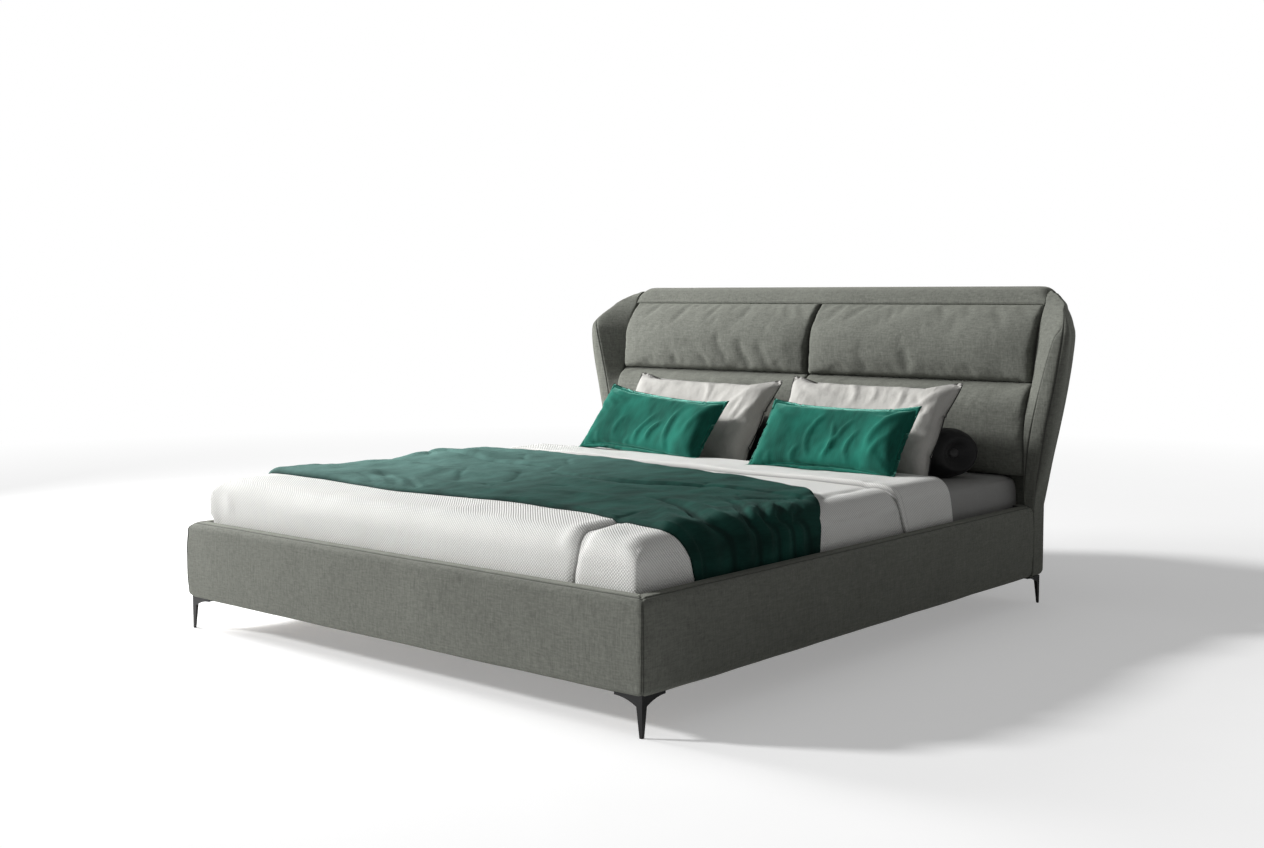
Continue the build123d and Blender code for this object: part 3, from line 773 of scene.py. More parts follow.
@dataclass(frozen=True)
class Velvet:
    """Cut pile with brushed patches, painted sheen where the piece marks it, and painted shade
    in its marked creases.
    """

    name: str
    color: Triple
    sheen_color: Triple
    sheen: float = 0.9
    patch: float = 14.0

    def build(self) -> Material:
        """Builds it.

        Returns:
            The material.
        """
        graph = Graph(self.name)
        place = graph.place(Weave.CLOTH)
        brushed = graph.noise(graph.scaled(place, (1.0, 0.45, 1.0)), self.patch, 3.0, 0.55)
        pile = graph.noise(place, 900.0, 2.0, 0.6)
        lanes = graph.noise(graph.scaled(place, (1.0, 0.08, 1.0)), 260.0, 2.0, 0.5)
        share = graph.between(graph.sum_of((brushed, 0.74), (lanes, 0.14), (pile, 0.12)),
                              0.36, 0.66)
        color = graph.toned(share, self.color, 0.55, 1.6)
        # Painted sheen: where the piece marks it, the colour goes towards the pale sheen
        # colour, as if lit at a grazing angle.
        painted_sheen = graph.marked("painted_sheen")
        lit = graph.sum_of((painted_sheen, 0.5), (graph.product(painted_sheen, share), 0.5))
        color = graph.mixed(lit, color, rgba(self.sheen_color, 0.30))
        # Painted shade in the creases, edges and underside that the piece marks.
        color = graph.with_painted_seam_shade(color, self.color, 0.3)
        height = graph.sum_of((pile, 0.5), (lanes, 0.5))
        fixed = {"Sheen Weight": self.sheen, "Sheen Roughness": 0.34,
                 "Sheen Tint": (*self.sheen_color, 1.0), "Specular IOR Level": 0.12}
        return graph.finish(color, 0.88, height, 0.0006, fixed)


@dataclass(frozen=True)
class PlainCloth:
    """Plain-woven cotton or linen, with fine creases."""

    name: str
    color: Triple
    threads: float = 520.0
    crease: float = 0.0008
    contrast: float = 0.10
    roughness: float = 0.86
    weave: Weave = Weave.SPACE

    def build(self) -> Material:
        """Builds it.

        Returns:
            The material.
        """
        graph = Graph(self.name)
        place = graph.place(self.weave)
        warp = graph.noise(graph.scaled(place, (1.0, 0.1, 0.1)), self.threads, 2.0, 0.6)
        weft = graph.noise(graph.scaled(place, (0.1, 1.0, 1.0)), self.threads, 2.0, 0.6)
        cloud = graph.noise(place, 9.0, 3.0, 0.55)
        crush = graph.noise(graph.scaled(place, (1.0, 0.5, 1.0)), 26.0, 4.0, 0.62)
        tone = graph.sum_of((warp, 0.35), (weft, 0.35), (cloud, 0.30))
        color = graph.toned(graph.between(tone, 0.34, 0.66), self.color,
                            1.0 - self.contrast, 1.0 + self.contrast)
        # Painted shade where the piece marks seams, creases or gaps.
        color = graph.with_painted_seam_shade(color, self.color, 0.35)
        height = graph.sum_of((warp, 0.10), (weft, 0.10), (crush, 1.0))
        return graph.finish(color, self.roughness, height, self.crease * 4,
                            {"Specular IOR Level": 0.25, "Sheen Weight": 0.12})


@dataclass(frozen=True)
class Twill:
    """Pale cover cloth with fine slanting ribs."""

    name: str
    color: Triple
    ribs: float = 66.0

    def build(self) -> Material:
        """Builds it.

        Returns:
            The material.
        """
        graph = Graph(self.name)
        place = graph.place()
        slant = graph.bands(place, self.ribs, 0.5)
        across = graph.bands(graph.scaled(place, (1.0, -1.0, -1.0)), self.ribs, 0.8)
        fuzz = graph.noise(place, 260.0, 3.0, 0.6)
        cloud = graph.noise(place, 5.0, 3.0, 0.5)
        tone = graph.sum_of((slant, 0.50), (across, 0.20), (fuzz, 0.20), (cloud, 0.10))
        color = graph.toned(graph.between(tone, 0.25, 0.75), self.color, 0.74, 1.12)
        # Painted shade along the seam grooves and under the hem that the piece marks.
        color = graph.with_painted_seam_shade(color, self.color, 0.30)
        height = graph.sum_of((slant, 0.8), (across, 0.45), (fuzz, 0.4))
        return graph.finish(color, 0.9, height, 0.0012,
                            {"Specular IOR Level": 0.2, "Sheen Weight": 0.1})


@dataclass(frozen=True)
class Timber:
    """Planed wood or plywood, with its grain along one axis."""

    name: str
    color: Triple
    grain: Triple = (0.06, 1.0, 1.0)

    def build(self) -> Material:
        """Builds it.

        Returns:
            The material.
        """
        graph = Graph(self.name)
        place = graph.scaled(graph.place(), self.grain)
        rings = graph.noise(place, 28.0, 4.0, 0.6)
        fibre = graph.noise(place, 420.0, 3.0, 0.6)
        tone = graph.sum_of((rings, 0.7), (fibre, 0.3))
        color = graph.toned(graph.between(tone, 0.35, 0.65), self.color, 0.68, 1.15)
        return graph.finish(color, 0.62, graph.sum_of((fibre, 0.6), (rings, 0.4)), 0.0004,
                            {"Specular IOR Level": 0.35})


@dataclass(frozen=True)
class Coated:
    """Painted, plated or moulded hard surface."""

    name: str
    color: Triple
    roughness: float
    metal: float = 0.0
    grain: float = 700.0

    def build(self) -> Material:
        """Builds it.

        Returns:
            The material.
        """
        graph = Graph(self.name)
        place = graph.place()
        speck = graph.noise(place, self.grain, 2.0, 0.6)
        wear = graph.noise(place, 24.0, 4.0, 0.6)
        color = graph.toned(graph.between(wear, 0.4, 0.7), self.color, 0.85, 1.25)
        rough = graph.product(graph.between(wear, -1.2, 2.4), self.roughness * 2.0)
        return graph.finish(color, rough, speck, 0.00015, {"Metallic": self.metal})


class Finishes:
    """All the materials of the bed, made once."""

    def __init__(self) -> None:
        """Builds every material."""
        wood = (0.60, 0.43, 0.26)
        self.upholstery = Melange().build()
        self.back_cloth = PlainCloth("backing cloth", (0.060, 0.062, 0.060), 900.0, 0.0004,
                                     0.25).build()
        self.throw = Velvet("throw velvet", (0.0072, 0.040, 0.031), (0.42, 0.80, 0.72), 0.07,
                            11.0).build()
        self.green = Velvet("pillow velvet", (0.008, 0.096, 0.070), (0.30, 0.75, 0.62), 0.8,
                            9.0).build()
        self.linen = PlainCloth("pillow linen", (0.45, 0.44, 0.415), 620.0, 0.0011,
                                weave=Weave.CLOTH).build()
        self.cover = Twill("coverlet twill", (0.80, 0.797, 0.772)).build()
        self.sheet = PlainCloth("sheet cotton", (0.30, 0.298, 0.292), 900.0, 0.0005,
                                0.08).build()
        self.ticking = PlainCloth("mattress ticking", (0.70, 0.70, 0.68), 300.0, 0.0008,
                                  0.12).build()
        self.satin = PlainCloth("bolster cloth", (0.007, 0.007, 0.0075), 700.0, 0.0006,
                                0.3, 0.46).build()
        self.piping = PlainCloth("piping", (0.008, 0.008, 0.008), 900.0, 0.0002, 0.2,
                                 0.6).build()
        self.button = PlainCloth("button cloth", (0.030, 0.030, 0.030), 900.0, 0.0002,
                                 0.2, 0.4).build()
        self.webbing = PlainCloth("webbing", (0.62, 0.60, 0.55), 800.0, 0.0003,
                                  0.15).build()
        self.thread = PlainCloth("seam thread", (0.085, 0.088, 0.080), 900.0, 0.0001, 0.1,
                                 0.6).build()
        self.slat = Timber("slat birch", (0.66, 0.50, 0.31)).build()
        self.timber_across = Timber("softwood across", wood).build()
        self.timber_along = Timber("softwood along", wood, (1.0, 0.06, 1.0)).build()
        self.timber_up = Timber("softwood upright", wood, (1.0, 1.0, 0.06)).build()
        self.board = Timber("plywood", (0.50, 0.36, 0.22), (0.2, 0.2, 1.0)).build()
        self.leg = Coated("leg powder coat", (0.004, 0.004, 0.0045), 0.42).build()
        self.steel = Coated("frame paint", (0.03, 0.03, 0.033), 0.5).build()
        self.zinc = Coated("zinc plate", (0.55, 0.56, 0.58), 0.36, 1.0).build()
        self.plastic = Coated("moulded plastic", (0.018, 0.018, 0.018), 0.55).build()


def dressed(piece: Piece, material: Material, slot: str, *nodes: str) -> Piece:
    """Gives a piece its finish and its place in the frame.

    Args:
        piece: The piece, in place.
        material: Its material.
        slot: The record's material slot; not used.
        *nodes: CAD nodes that it stands for.

    Returns:
        The piece.
    """
    piece.data.materials.clear()
    piece.data.materials.append(material)
    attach(piece, ROOT)
    if nodes:
        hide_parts(*nodes)
    LOG.info("%s: %d faces", piece.name, len(piece.data.polygons))
    return piece


# Geometry nodes


class Pattern(Network):
    """Geometry node tree with named sizes, run once on a carrier piece."""

    def __init__(self, name: str, sizes: dict[str, float | int]) -> None:
        """Starts the tree.

        Args:
            name: The tree's name.
            sizes: Its named inputs and their values.
        """
        super().__init__(bpy.data.node_groups.new(name, "GeometryNodeTree"))
        face = self.tree.interface
        face.new_socket("Geometry", in_out="INPUT", socket_type="NodeSocketGeometry")
        face.new_socket("Geometry", in_out="OUTPUT", socket_type="NodeSocketGeometry")
        self.sizes = sizes
        self.keys = {}
        for label, value in sizes.items():
            kind = "NodeSocketInt" if isinstance(value, int) else "NodeSocketFloat"
            made = face.new_socket(label, in_out="INPUT", socket_type=kind)
            self.keys[label] = made.identifier
        self.start = self.tree.nodes.new("NodeGroupInput")
        self.end = self.tree.nodes.new("NodeGroupOutput")

    def size(self, label: str) -> Socket:
        """Socket of a named size."""
        return self.start.outputs[label]

    def run(self, piece: Piece, result: Socket, material: Material) -> Piece:
        """Ends the tree, runs it on a carrier and keeps its plain mesh.

        Args:
            piece: Carrier, whose mesh the tree gets.
            result: The socket that holds what was made.
            material: Material that the tree sets.

        Returns:
            The piece with the made mesh.
        """
        real = self.node("GeometryNodeRealizeInstances", {0: result})
        done = self.node("GeometryNodeSetMaterial", {
            "Geometry": real.outputs[0], "Material": material})
        self.tree.links.new(done.outputs[0], self.end.inputs[0])
        modifier = piece.modifiers.new("pattern", "NODES")
        modifier.node_group = self.tree
        for label, value in self.sizes.items():
            modifier[self.keys[label]] = value
        baked(piece)
        turn_outwards(piece.data)
        return piece


def wire(name: str, runs: Sequence[Array]) -> Piece:
    """Carrier made of edges only.

    Args:
        name: Its name.
        runs: Arrays of points, one line each.

    Returns:
        The carrier.
    """
    points: list[list[float]] = []
    edges: list[tuple[int, int]] = []
    for run in runs:
        base = len(points)
        points += np.asarray(run, float).tolist()
        edges += [(base + k, base + k + 1) for k in range(len(run) - 1)]
    mesh = bpy.data.meshes.new(name)
    mesh.from_pydata(points, edges, [])
    piece = bpy.data.objects.new(name, mesh)
    bpy.context.scene.collection.objects.link(piece)
    return piece


def piping(name: str, runs: Sequence[Array], radius: float, material: Material) -> Piece:
    """Round cord sewn along lines.

    Args:
        name: The piece's name.
        runs: Arrays of points, one line each.
        radius: The cord's radius.
        material: Its material.

    Returns:
        The piece.
    """
    pattern = Pattern(name + " pattern", {"Radius": radius, "Sides": 8})
    line = pattern.node("GeometryNodeMeshToCurve", {0: pattern.start.outputs[0]})
    ring = pattern.node("GeometryNodeCurvePrimitiveCircle",
                        {"Resolution": pattern.size("Sides"), "Radius": pattern.size("Radius")})
    tube = pattern.node("GeometryNodeCurveToMesh", {
        "Curve": line.outputs[0], "Profile Curve": ring.outputs[0], "Fill Caps": True})
    return pattern.run(wire(name, runs), tube.outputs[0], material)


def repeated(name: str, runs: Sequence[Array], motif: Motif, pitch: float,
             length: float, radius: float, material: Material
             ) -> Piece:
    """Small motif set along lines.

    Args:
        name: The piece's name.
        runs: Arrays of points, one line each.
        motif: What is repeated.
        pitch: Distance between two of them.
        length: Length of one.
        radius: Half its thickness.
        material: Its material.

    Returns:
        The piece.
    """
    pattern = Pattern(name + " pattern", {"Pitch": pitch, "Length": length, "Radius": radius})
    line = pattern.node("GeometryNodeMeshToCurve", {0: pattern.start.outputs[0]})
    dots = pattern.node("GeometryNodeCurveToPoints",
                        {"Curve": line.outputs[0], "Length": pattern.size("Pitch")},
                        mode="LENGTH")
    if motif is Motif.STITCH:
        one = pattern.node("GeometryNodeMeshUVSphere", {
            "Segments": 6, "Rings": 4, "Radius": pattern.size("Radius")})
        stretch = pattern.node("ShaderNodeMath", {0: pattern.size("Length"),
                               1: pattern.size("Radius")}, operation="DIVIDE")
        long = pattern.node("ShaderNodeMath", {0: stretch.outputs[0], 1: 0.5},
                            operation="MULTIPLY")
        scale = pattern.node("ShaderNodeCombineXYZ", {0: 1.0, 1: 1.0, 2: long.outputs[0]})
    else:
        size = pattern.node("ShaderNodeCombineXYZ", {
            0: pattern.size("Radius"), 1: pattern.size("Radius"), 2: pattern.size("Length")})
        one = pattern.node("GeometryNodeMeshCube", {"Size": size.outputs[0]})
        scale = pattern.node("ShaderNodeCombineXYZ", {0: 1.0, 1: 1.0, 2: 1.0})
    placed = pattern.node("GeometryNodeInstanceOnPoints", {
        "Points": dots.outputs["Points"], "Instance": one.outputs[0],
        "Rotation": dots.outputs["Rotation"], "Scale": scale.outputs[0]})
    return pattern.run(wire(name, runs), placed.outputs[0], material)


def stitching(name: str, runs: Sequence[Array], finishes: Finishes) -> None:
    """Row of stitches along each line of some seams.

    Args:
        name: The piece's name.
        runs: Arrays of points, one line each.
        finishes: The materials.
    """
    thread = repeated(name, runs, Motif.STITCH, STITCH_PITCH, STITCH_LENGTH, STITCH_RADIUS,
                      finishes.thread)
    dressed(thread, finishes.thread, "upholstery")


# Places read from the frame


@dataclass(frozen=True)
class Places:
    """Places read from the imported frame."""

    foot: float
    half: float
    rail_inner: float
    rail_low: float
    rail_top: float
    rail_end: float
    pad_side: float
    base_back: float
    headboard_top: float
    slope: float = 0.142 / 0.771
    panel_depth: float = 0.062
    pad_room: float = 0.035
    front_run: float = 2.100

    @classmethod
    def read(cls) -> Places:
        """Reads them from the nodes' boxes.

        Returns:
            The places.
        """
        foot_low, foot_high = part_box("foot_rail_cover")
        side_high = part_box("side_rail_cover_right")[1]
        border_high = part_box("headboard_border")[1]
        return cls(
            foot=foot_low.y, half=foot_high.x, rail_inner=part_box("slat_ledge_right")[1].x,
            rail_low=foot_low.z, rail_top=foot_high.z, rail_end=side_high.y,
            pad_side=border_high.x, headboard_top=border_high.z,
            base_back=side_high.y + cls.pad_room + cls.panel_depth)

    @property
    def rail_outward(self) -> float:
        """Distance from a rail's inner face to its outer one."""
        return self.half - self.rail_inner

    @property
    def front(self) -> float:
        """Y of the headboard's foremost plane."""
        return self.foot + self.front_run

    def back(self, height: Array | float) -> Array:
        """Y of the headboard's back at a height."""
        return self.base_back + np.maximum(0.0, height - self.rail_top) * self.slope

    def panel(self, height: Array | float) -> Array:
        """Y of the front of the headboard's panel at a height."""
        return self.back(height) - self.panel_depth


@dataclass
class Assembly:
    """Part of the bed, which gets its places and its materials."""

    places: Places
    finishes: Finishes


# Rails


@dataclass
class Rails(Assembly):
    """Padded and covered side rails and foot rail, mitred at the foot corners."""

    top_round: float = 0.024
    low_round: float = 0.022
    bulge: float = 0.004
    seam_share: float = 0.30
    groove: float = 0.0020
    groove_width: float = 0.0024
    corner_groove: float = 0.0045
    corner_width: float = 0.0075
    corner_line: float = 0.0022
    uneven: float = 0.0013
    top_shade: float = 0.6

    @property
    def side(self) -> float:
        """How far the flat of a rail's outer face lies from its inner face."""
        return self.places.rail_outward - self.bulge

    @property
    def seam_at(self) -> Array:
        """Place of the top seam in a rail's section.

        Returns:
            Its outward and height.
        """
        turn = math.pi / 2 * (1 - self.seam_share)
        x, z = self.side - self.top_round, self.places.rail_top - self.top_round
        return np.array([x + self.top_round * math.cos(turn),
                         z + self.top_round * math.sin(turn)])

    def section(self) -> tuple[Array, Array, Array]:
        """Closed section of a rail.

        Returns:
            Points as outward and height, their outward normals, and the seam's share at each.
        """
        p = self.places
        side, low, high = self.side, p.rail_low, p.rail_top
        arc_low = np.linspace(-math.pi / 2, 0, 12)
        arc_high = np.linspace(0, math.pi / 2, 26)
        low_x, low_z = side - self.low_round, low + self.low_round
        high_x, high_z = side - self.top_round, high - self.top_round
        bottom = [(x, low) for x in np.linspace(0.004, low_x, 4)[:-1]]
        lower = [(low_x + self.low_round * math.cos(a), low_z + self.low_round * math.sin(a))
                 for a in arc_low]
        face = [(side, z) for z in np.linspace(low_z, high_z, 18)[1:-1]]
        upper = [(high_x + self.top_round * math.cos(a), high_z + self.top_round * math.sin(a))
                 for a in arc_high]
        top = [(x, high) for x in np.linspace(high_x, 0.006, 6)[1:]]
        inner = [(0.0, z) for z in np.linspace(high - 0.006, low + 0.004, 8)]
        points = np.array(bottom + lower + face + upper + top + inner)
        swell = np.clip(points[:, 0] / side, 0, 1) ** 2 * eased(points[:, 1], low, low + 0.09)
        swell *= 1 - eased(points[:, 1], high - 0.09, high)
        points[:, 0] += self.bulge * swell
        step = np.roll(points, -1, 0) - np.roll(points, 1, 0)
        normal = np.stack([step[:, 1], -step[:, 0]], 1)
        normal /= np.linalg.norm(normal, axis=1, keepdims=True)
        gap = np.linalg.norm(points - self.seam_at, axis=1)
        return points, normal, np.exp(-(gap / self.groove_width) ** 2)

    def bar(self, name: str, side: Side | None) -> Piece:
        """One rail.

        Args:
            name: The piece's name.
            side: Which side rail, or None for the foot rail.

        Returns:
            The piece.
        """
        p = self.places
        points, normal, seam = self.section()
        depth = p.rail_outward
        outward, height = points[:, 0], points[:, 1]
        fine = (0.0, 0.002, 0.004, 0.006, 0.009, 0.013, 0.018, 0.026, 0.038)
        length = 2 * p.half if side is None else p.rail_end - p.foot
        run = steps(0.0, length, 0.014, fine)
        if side is None:
            wide = p.rail_inner + outward
            x = (run / length)[:, None] * 2 * wide - wide
            y = np.broadcast_to(p.foot + depth - outward, x.shape)
            gap = np.minimum(run, length - run)
            ways = np.stack([0 * normal[:, 0], -normal[:, 0], normal[:, 1]], 1)
        else:
            start = p.foot + depth - outward
            y = start + (run / length)[:, None] * (p.rail_end - start)
            x = np.broadcast_to(side.value * (p.rail_inner + outward), y.shape)
            gap = run
            ways = np.stack([side.value * normal[:, 0], 0 * normal[:, 0], normal[:, 1]], 1)
        z = np.broadcast_to(height, x.shape)
        rings = np.stack([x, y, z], -1)
        flat = rings.reshape(-1, 3)
        soft = Ripple(0.42, 11).at(flat) * 0.8 + Ripple(0.13, 12).at(flat) * 0.35
        soft = soft.reshape(x.shape) * self.uneven * eased(outward, 0.01, depth)
        corner = np.exp(-(gap / self.corner_width) ** 2)[:, None] * eased(outward, 0.0, 0.03)
        dip = self.groove * seam[None, :] + self.corner_groove * corner
        rings = rings + (soft - dip)[..., None] * ways
        piece = mesh_piece(name, *loft(rings))
        # Painted shade: a dark line in the mitred corner, darkening in the top seam's groove,
        # and shade along the rail's top beside the bedding.
        line = np.exp(-(gap / self.corner_line) ** 2)[:, None] * eased(outward, 0.0, 0.03)
        shade = self.top_shade * (1 - eased(outward, 0.020, 0.048)) * eased(
            height, p.rail_top - 0.02, p.rail_top - 0.001)
        dark = np.maximum(np.maximum(seam, shade)[None, :] * 0.75, line)
        mark_loft(piece, "seam", dark)
        return piece

    def seam_run(self, side: Side | None) -> Array:
        """Line of the top seam of a rail.

        Args:
            side: Which side rail, or None for the foot rail.

        Returns:
            Array of points.
        """
        p = self.places
        outward, height = self.seam_at + 0.0002
        if side is None:
            x = np.linspace(-p.half + 0.03, p.half - 0.03, 160)
            y = np.full_like(x, p.foot + p.rail_outward - outward)
        else:
            y = np.linspace(p.foot + 0.03, p.rail_end - 0.004, 170)
            x = np.full_like(y, side.value * (p.rail_inner + outward))
        return np.stack([x, y, np.full_like(x, height)], 1)

    def build(self) -> None:
        """Makes the three rails and their top stitching."""
        for side in Side:
            piece = self.bar(f"side_rail_padding_{side.word}", side)
            dressed(piece, self.finishes.upholstery, "upholstery",
                    f"side_rail_cover_{side.word}", f"side_rail_foam_{side.word}")
        foot = self.bar("foot_rail_padding", None)
        dressed(foot, self.finishes.upholstery, "upholstery", "foot_rail_cover",
                "foot_rail_foam")
        runs = [self.seam_run(side) for side in (Side.RIGHT, Side.LEFT, None)]
        stitching("rail_stitching", runs, self.finishes)


# Headboard


@dataclass(frozen=True)
class PadForm:
    """Shape of a headboard pad: its front's setback from bottom to top, and its softness."""

    setbacks: tuple[float, ...]
    heights_share: tuple[float, ...]
    crown: float
    edge: float
    top_share: float
    folds: tuple[Fold, ...]
    seed: int


@dataclass
class Pads(Assembly):
    """The four stuffed pads of the headboard's front."""

    filling: Filling = Filling(pressure=1.6, slack=0.012, frames=10, cap=0.006, bending=2.0)
    dent: float = 0.9
    shade: float = 0.005
    pitch_x: float = 0.0095
    pitch_z: float = 0.0085
    uneven: float = 0.0016
    fine_uneven: float = 0.0005

    def form(self, name: str) -> PadForm:
        """Shape of a pad.

        Args:
            name: The pad's node.

        Returns:
            The shape.
        """
        upper = name.startswith("upper")
        if upper:
            return PadForm((0.049, 0.0547, 0.068, 0.105, 0.145), (0, 0.30, 0.60, 0.83, 1.0),
                           0.030, 0.020, 0.02, PAD_FOLDS[name], len(name) + 3)
        return PadForm((0.017, 0.0015, 0.0, 0.014, 0.057), (0, 0.22, 0.55, 0.86, 1.0),
                       0.014, 0.018, 0.6, PAD_FOLDS[name], len(name) + 5)

    def pad(self, node: str) -> Piece:
        """One pad, in the place of its node.

        Args:
            node: The node that it stands for.

        Returns:
            The piece.
        """
        p = self.places
        form = self.form(node)
        low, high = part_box(node)
        width, tall = high.x - low.x, high.z - low.z
        fine = (0.0, 0.002, 0.005, 0.009, 0.014, 0.020, 0.028)
        xs = steps(low.x, high.x, self.pitch_x, fine)
        zs = steps(low.z, high.z, self.pitch_z, fine)
        curve = spline(list(zip(form.heights_share, form.setbacks)), 200)
        setback = np.interp((zs - low.z) / tall, curve[:, 0], curve[:, 1])
        share_x, share_z = (xs - low.x) / width, (zs - low.z) / tall
        swell_x = 1 - np.abs(2 * share_x - 1) ** 5
        swell_z = np.sin(math.pi * np.clip(share_z, 0, 1)) ** 0.7
        grid_x, grid_z = np.meshgrid(xs, zs, indexing="ij")
        flat = np.stack([grid_x.ravel(), grid_z.ravel()], 1)
        soft = (Ripple(0.21, form.seed).at(flat) * self.uneven
                + Ripple(0.06, form.seed + 1).at(flat) * self.fine_uneven)
        soft = (soft + self.dent * relief(flat, form.folds)).reshape(grid_x.shape)
        soft *= (eased(np.minimum(share_x, 1 - share_x) * width, 0.0, 0.03)[:, None]
                 * eased(np.minimum(share_z, 1 - share_z) * tall, -0.01, 0.012)[None, :])
        side_gap = np.minimum(xs - low.x, high.x - xs)
        low_gap, high_gap = zs - low.z, high.z - zs
        edge = recess(side_gap, form.edge)[:, None] + recess(
            low_gap, form.edge)[None, :] + form.top_share * recess(high_gap, form.edge)[None, :]
        front = p.front + setback[None, :] - form.crown * swell_x[:, None] * swell_z[None, :]
        front = front + edge - soft
        back = np.maximum(p.panel(zs)[None, :], front + 0.012)
        rings = []
        levels = len(zs)
        for k, x in enumerate(xs):
            face = np.stack([np.full(levels, x), front[k], zs], 1)
            rear = np.stack([np.full(levels, x), back[k], zs], 1)[::-1]
            top = face[-1] + (rear[0] - face[-1]) * np.linspace(0, 1, 7)[1:-1, None]
            under = rear[-1] + (face[0] - rear[-1]) * np.linspace(0, 1, 7)[1:-1, None]
            thin = rear[::4]
            thin = thin if np.allclose(thin[-1], rear[-1]) else np.vstack([thin, rear[-1]])
            rings.append(np.vstack([face, top, thin, under]))
        rings = np.array(rings)
        piece = mesh_piece(node.replace("pad", "headboard_pad"), *loft(rings))
        around = rings.shape[1]
        local = np.arange(len(xs) * around) % around
        held = np.flatnonzero(local >= levels)
        ends = np.r_[np.arange(around), (len(xs) - 1) * around + np.arange(around)]
        held = np.unique(np.r_[held, ends, [len(xs) * around, len(xs) * around + 1]])
        self.filling.swell(piece, held)
        points = coordinates(piece.data)
        points[:, 0] = np.clip(points[:, 0], low.x, high.x)
        points[:, 2] = np.clip(points[:, 2], low.z, high.z)
        move_points(piece, points)
        # Painted shade in the gaps along the pad's sides and bottom, and along the top of the
        # lower pads, fully dark at the ends.
        rim = np.minimum(rings[..., 2] - low.z, side_gap[:, None])
        if not node.startswith("upper"):
            rim = np.minimum(rim, high.z - rings[..., 2])
        dark = np.exp(-np.maximum(rim, 0) / self.shade)
        mark_loft(piece, "seam", dark, 1.0)
        return dressed(piece, self.finishes.upholstery, "upholstery", node)

    def build(self) -> None:
        """Makes the four pads."""
        for node in PAD_FOLDS:
            self.pad(node)


# Folds of each pad, with points as X and Z
PAD_FOLDS: dict[str, tuple[Fold, ...]] = {
    "upper_pad_left": (
        Fold(((-0.16, 0.79), (-0.20, 0.86), (-0.22, 0.93)), -0.007, 0.020),
        Fold(((-0.24, 0.79), (-0.30, 0.87), (-0.31, 0.93)), -0.008, 0.022),
        Fold(((-0.33, 0.79), (-0.41, 0.88), (-0.43, 0.95)), -0.006, 0.024),
        Fold(((-0.46, 0.79), (-0.52, 0.86), (-0.60, 0.93)), -0.005, 0.022),
        Fold(((-0.62, 0.79), (-0.66, 0.85), (-0.70, 0.88)), -0.004, 0.020),
        Fold(((-0.28, 1.05), (-0.34, 0.99), (-0.42, 0.95)), -0.005, 0.026),
        Fold(((-0.55, 1.05), (-0.52, 0.98), (-0.46, 0.93)), 0.004, 0.030),
        Fold(((-0.06, 0.80), (-0.10, 0.86), (-0.12, 0.95)), 0.004, 0.024),
    ),
    "upper_pad_right": (
        Fold(((0.30, 0.79), (0.26, 0.86), (0.27, 0.94)), -0.005, 0.026),
        Fold(((0.48, 0.79), (0.45, 0.85), (0.44, 0.90)), -0.004, 0.022),
        Fold(((0.70, 1.05), (0.64, 0.99), (0.60, 0.93)), -0.004, 0.028),
        Fold(((0.12, 1.05), (0.18, 0.98), (0.30, 0.94)), 0.004, 0.030),
        Fold(((0.86, 0.80), (0.80, 0.87), (0.74, 0.90)), -0.003, 0.026),
    ),
    "lower_pad_left": (
        Fold(((-0.20, 0.775), (-0.26, 0.73), (-0.34, 0.70)), -0.004, 0.020),
        Fold(((-0.42, 0.775), (-0.50, 0.72), (-0.56, 0.69)), -0.005, 0.022),
        Fold(((-0.66, 0.775), (-0.70, 0.74), (-0.76, 0.72)), -0.003, 0.020),
    ),
    "lower_pad_right": (
        Fold(((0.24, 0.775), (0.20, 0.73), (0.22, 0.68)), -0.003, 0.022),
        Fold(((0.90, 0.50), (0.86, 0.56), (0.80, 0.60)), -0.003, 0.026),
        Fold(((0.62, 0.775), (0.58, 0.73), (0.60, 0.69)), -0.003, 0.020),
    ),
}


@dataclass
class Border(Assembly):
    """Padded roll along the top of the headboard."""

    front_setback: float = 0.145
    top_setback: float = 0.200
    front_drop: float = 0.054
    back_round: float = 0.026
    uneven: float = 0.0009
    end_run: float = 0.065
    end_drop: float = 0.026
    end_power: float = 3.2

    def build(self) -> None:
        """Makes the roll."""
        p = self.places
        low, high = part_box("headboard_border")
        front = p.front + self.front_setback
        crest = p.front + self.top_setback
        knots = [(front + 0.010, low.z), (front + 0.002, low.z + 0.003),
                 (front, low.z + 0.010), (front + 0.002, high.z - self.front_drop),
                 (front + 0.017, high.z - 0.019), (crest - 0.012, high.z - 0.003),
                 (crest + 0.008, high.z)]
        rise = spline(knots, 34)
        rear = float(p.back(high.z))
        turn = np.linspace(math.pi / 2, 0, 9)
        centre = (rear - self.back_round, high.z - self.back_round)
        round_off = np.stack([centre[0] + (self.back_round - 0.004) * np.cos(turn),
                              centre[1] + self.back_round * np.sin(turn)], 1)
        down = [(float(p.back(z)), z) for z in np.linspace(high.z - 0.034, low.z, 5)]
        under = [(y, low.z) for y in np.linspace(down[-1][0], front + 0.010, 8)[1:-1]]
        loop = np.vstack([rise, round_off, down, under])
        xs = steps(low.x, high.x, 0.016, (0.0, 0.004, 0.010, 0.018, 0.028, 0.040, 0.054))
        rings = np.array([np.column_stack([np.full(len(loop), x), loop]) for x in xs])
        flat = rings.reshape(-1, 3)
        soft = (Ripple(0.34, 21).at(flat) * self.uneven).reshape(rings.shape[:2])
        soft[:, 40:] = 0
        rings[..., 1] -= soft * 0.7
        rings[..., 2] += np.where(rings[..., 2] > low.z + 0.01, soft * 0.3, 0)
        rings[..., 2] = np.minimum(rings[..., 2], high.z)
        fall = np.clip((np.abs(rings[..., 0]) - high.x) / self.end_run + 1, 0, 1)
        fall = fall ** self.end_power
        rings[..., 2] -= self.end_drop * fall * (rings[..., 2] - low.z) / (high.z - low.z)
        piece = mesh_piece("headboard_top_roll", *loft(rings))
        dressed(piece, self.finishes.upholstery, "upholstery", "headboard_border")


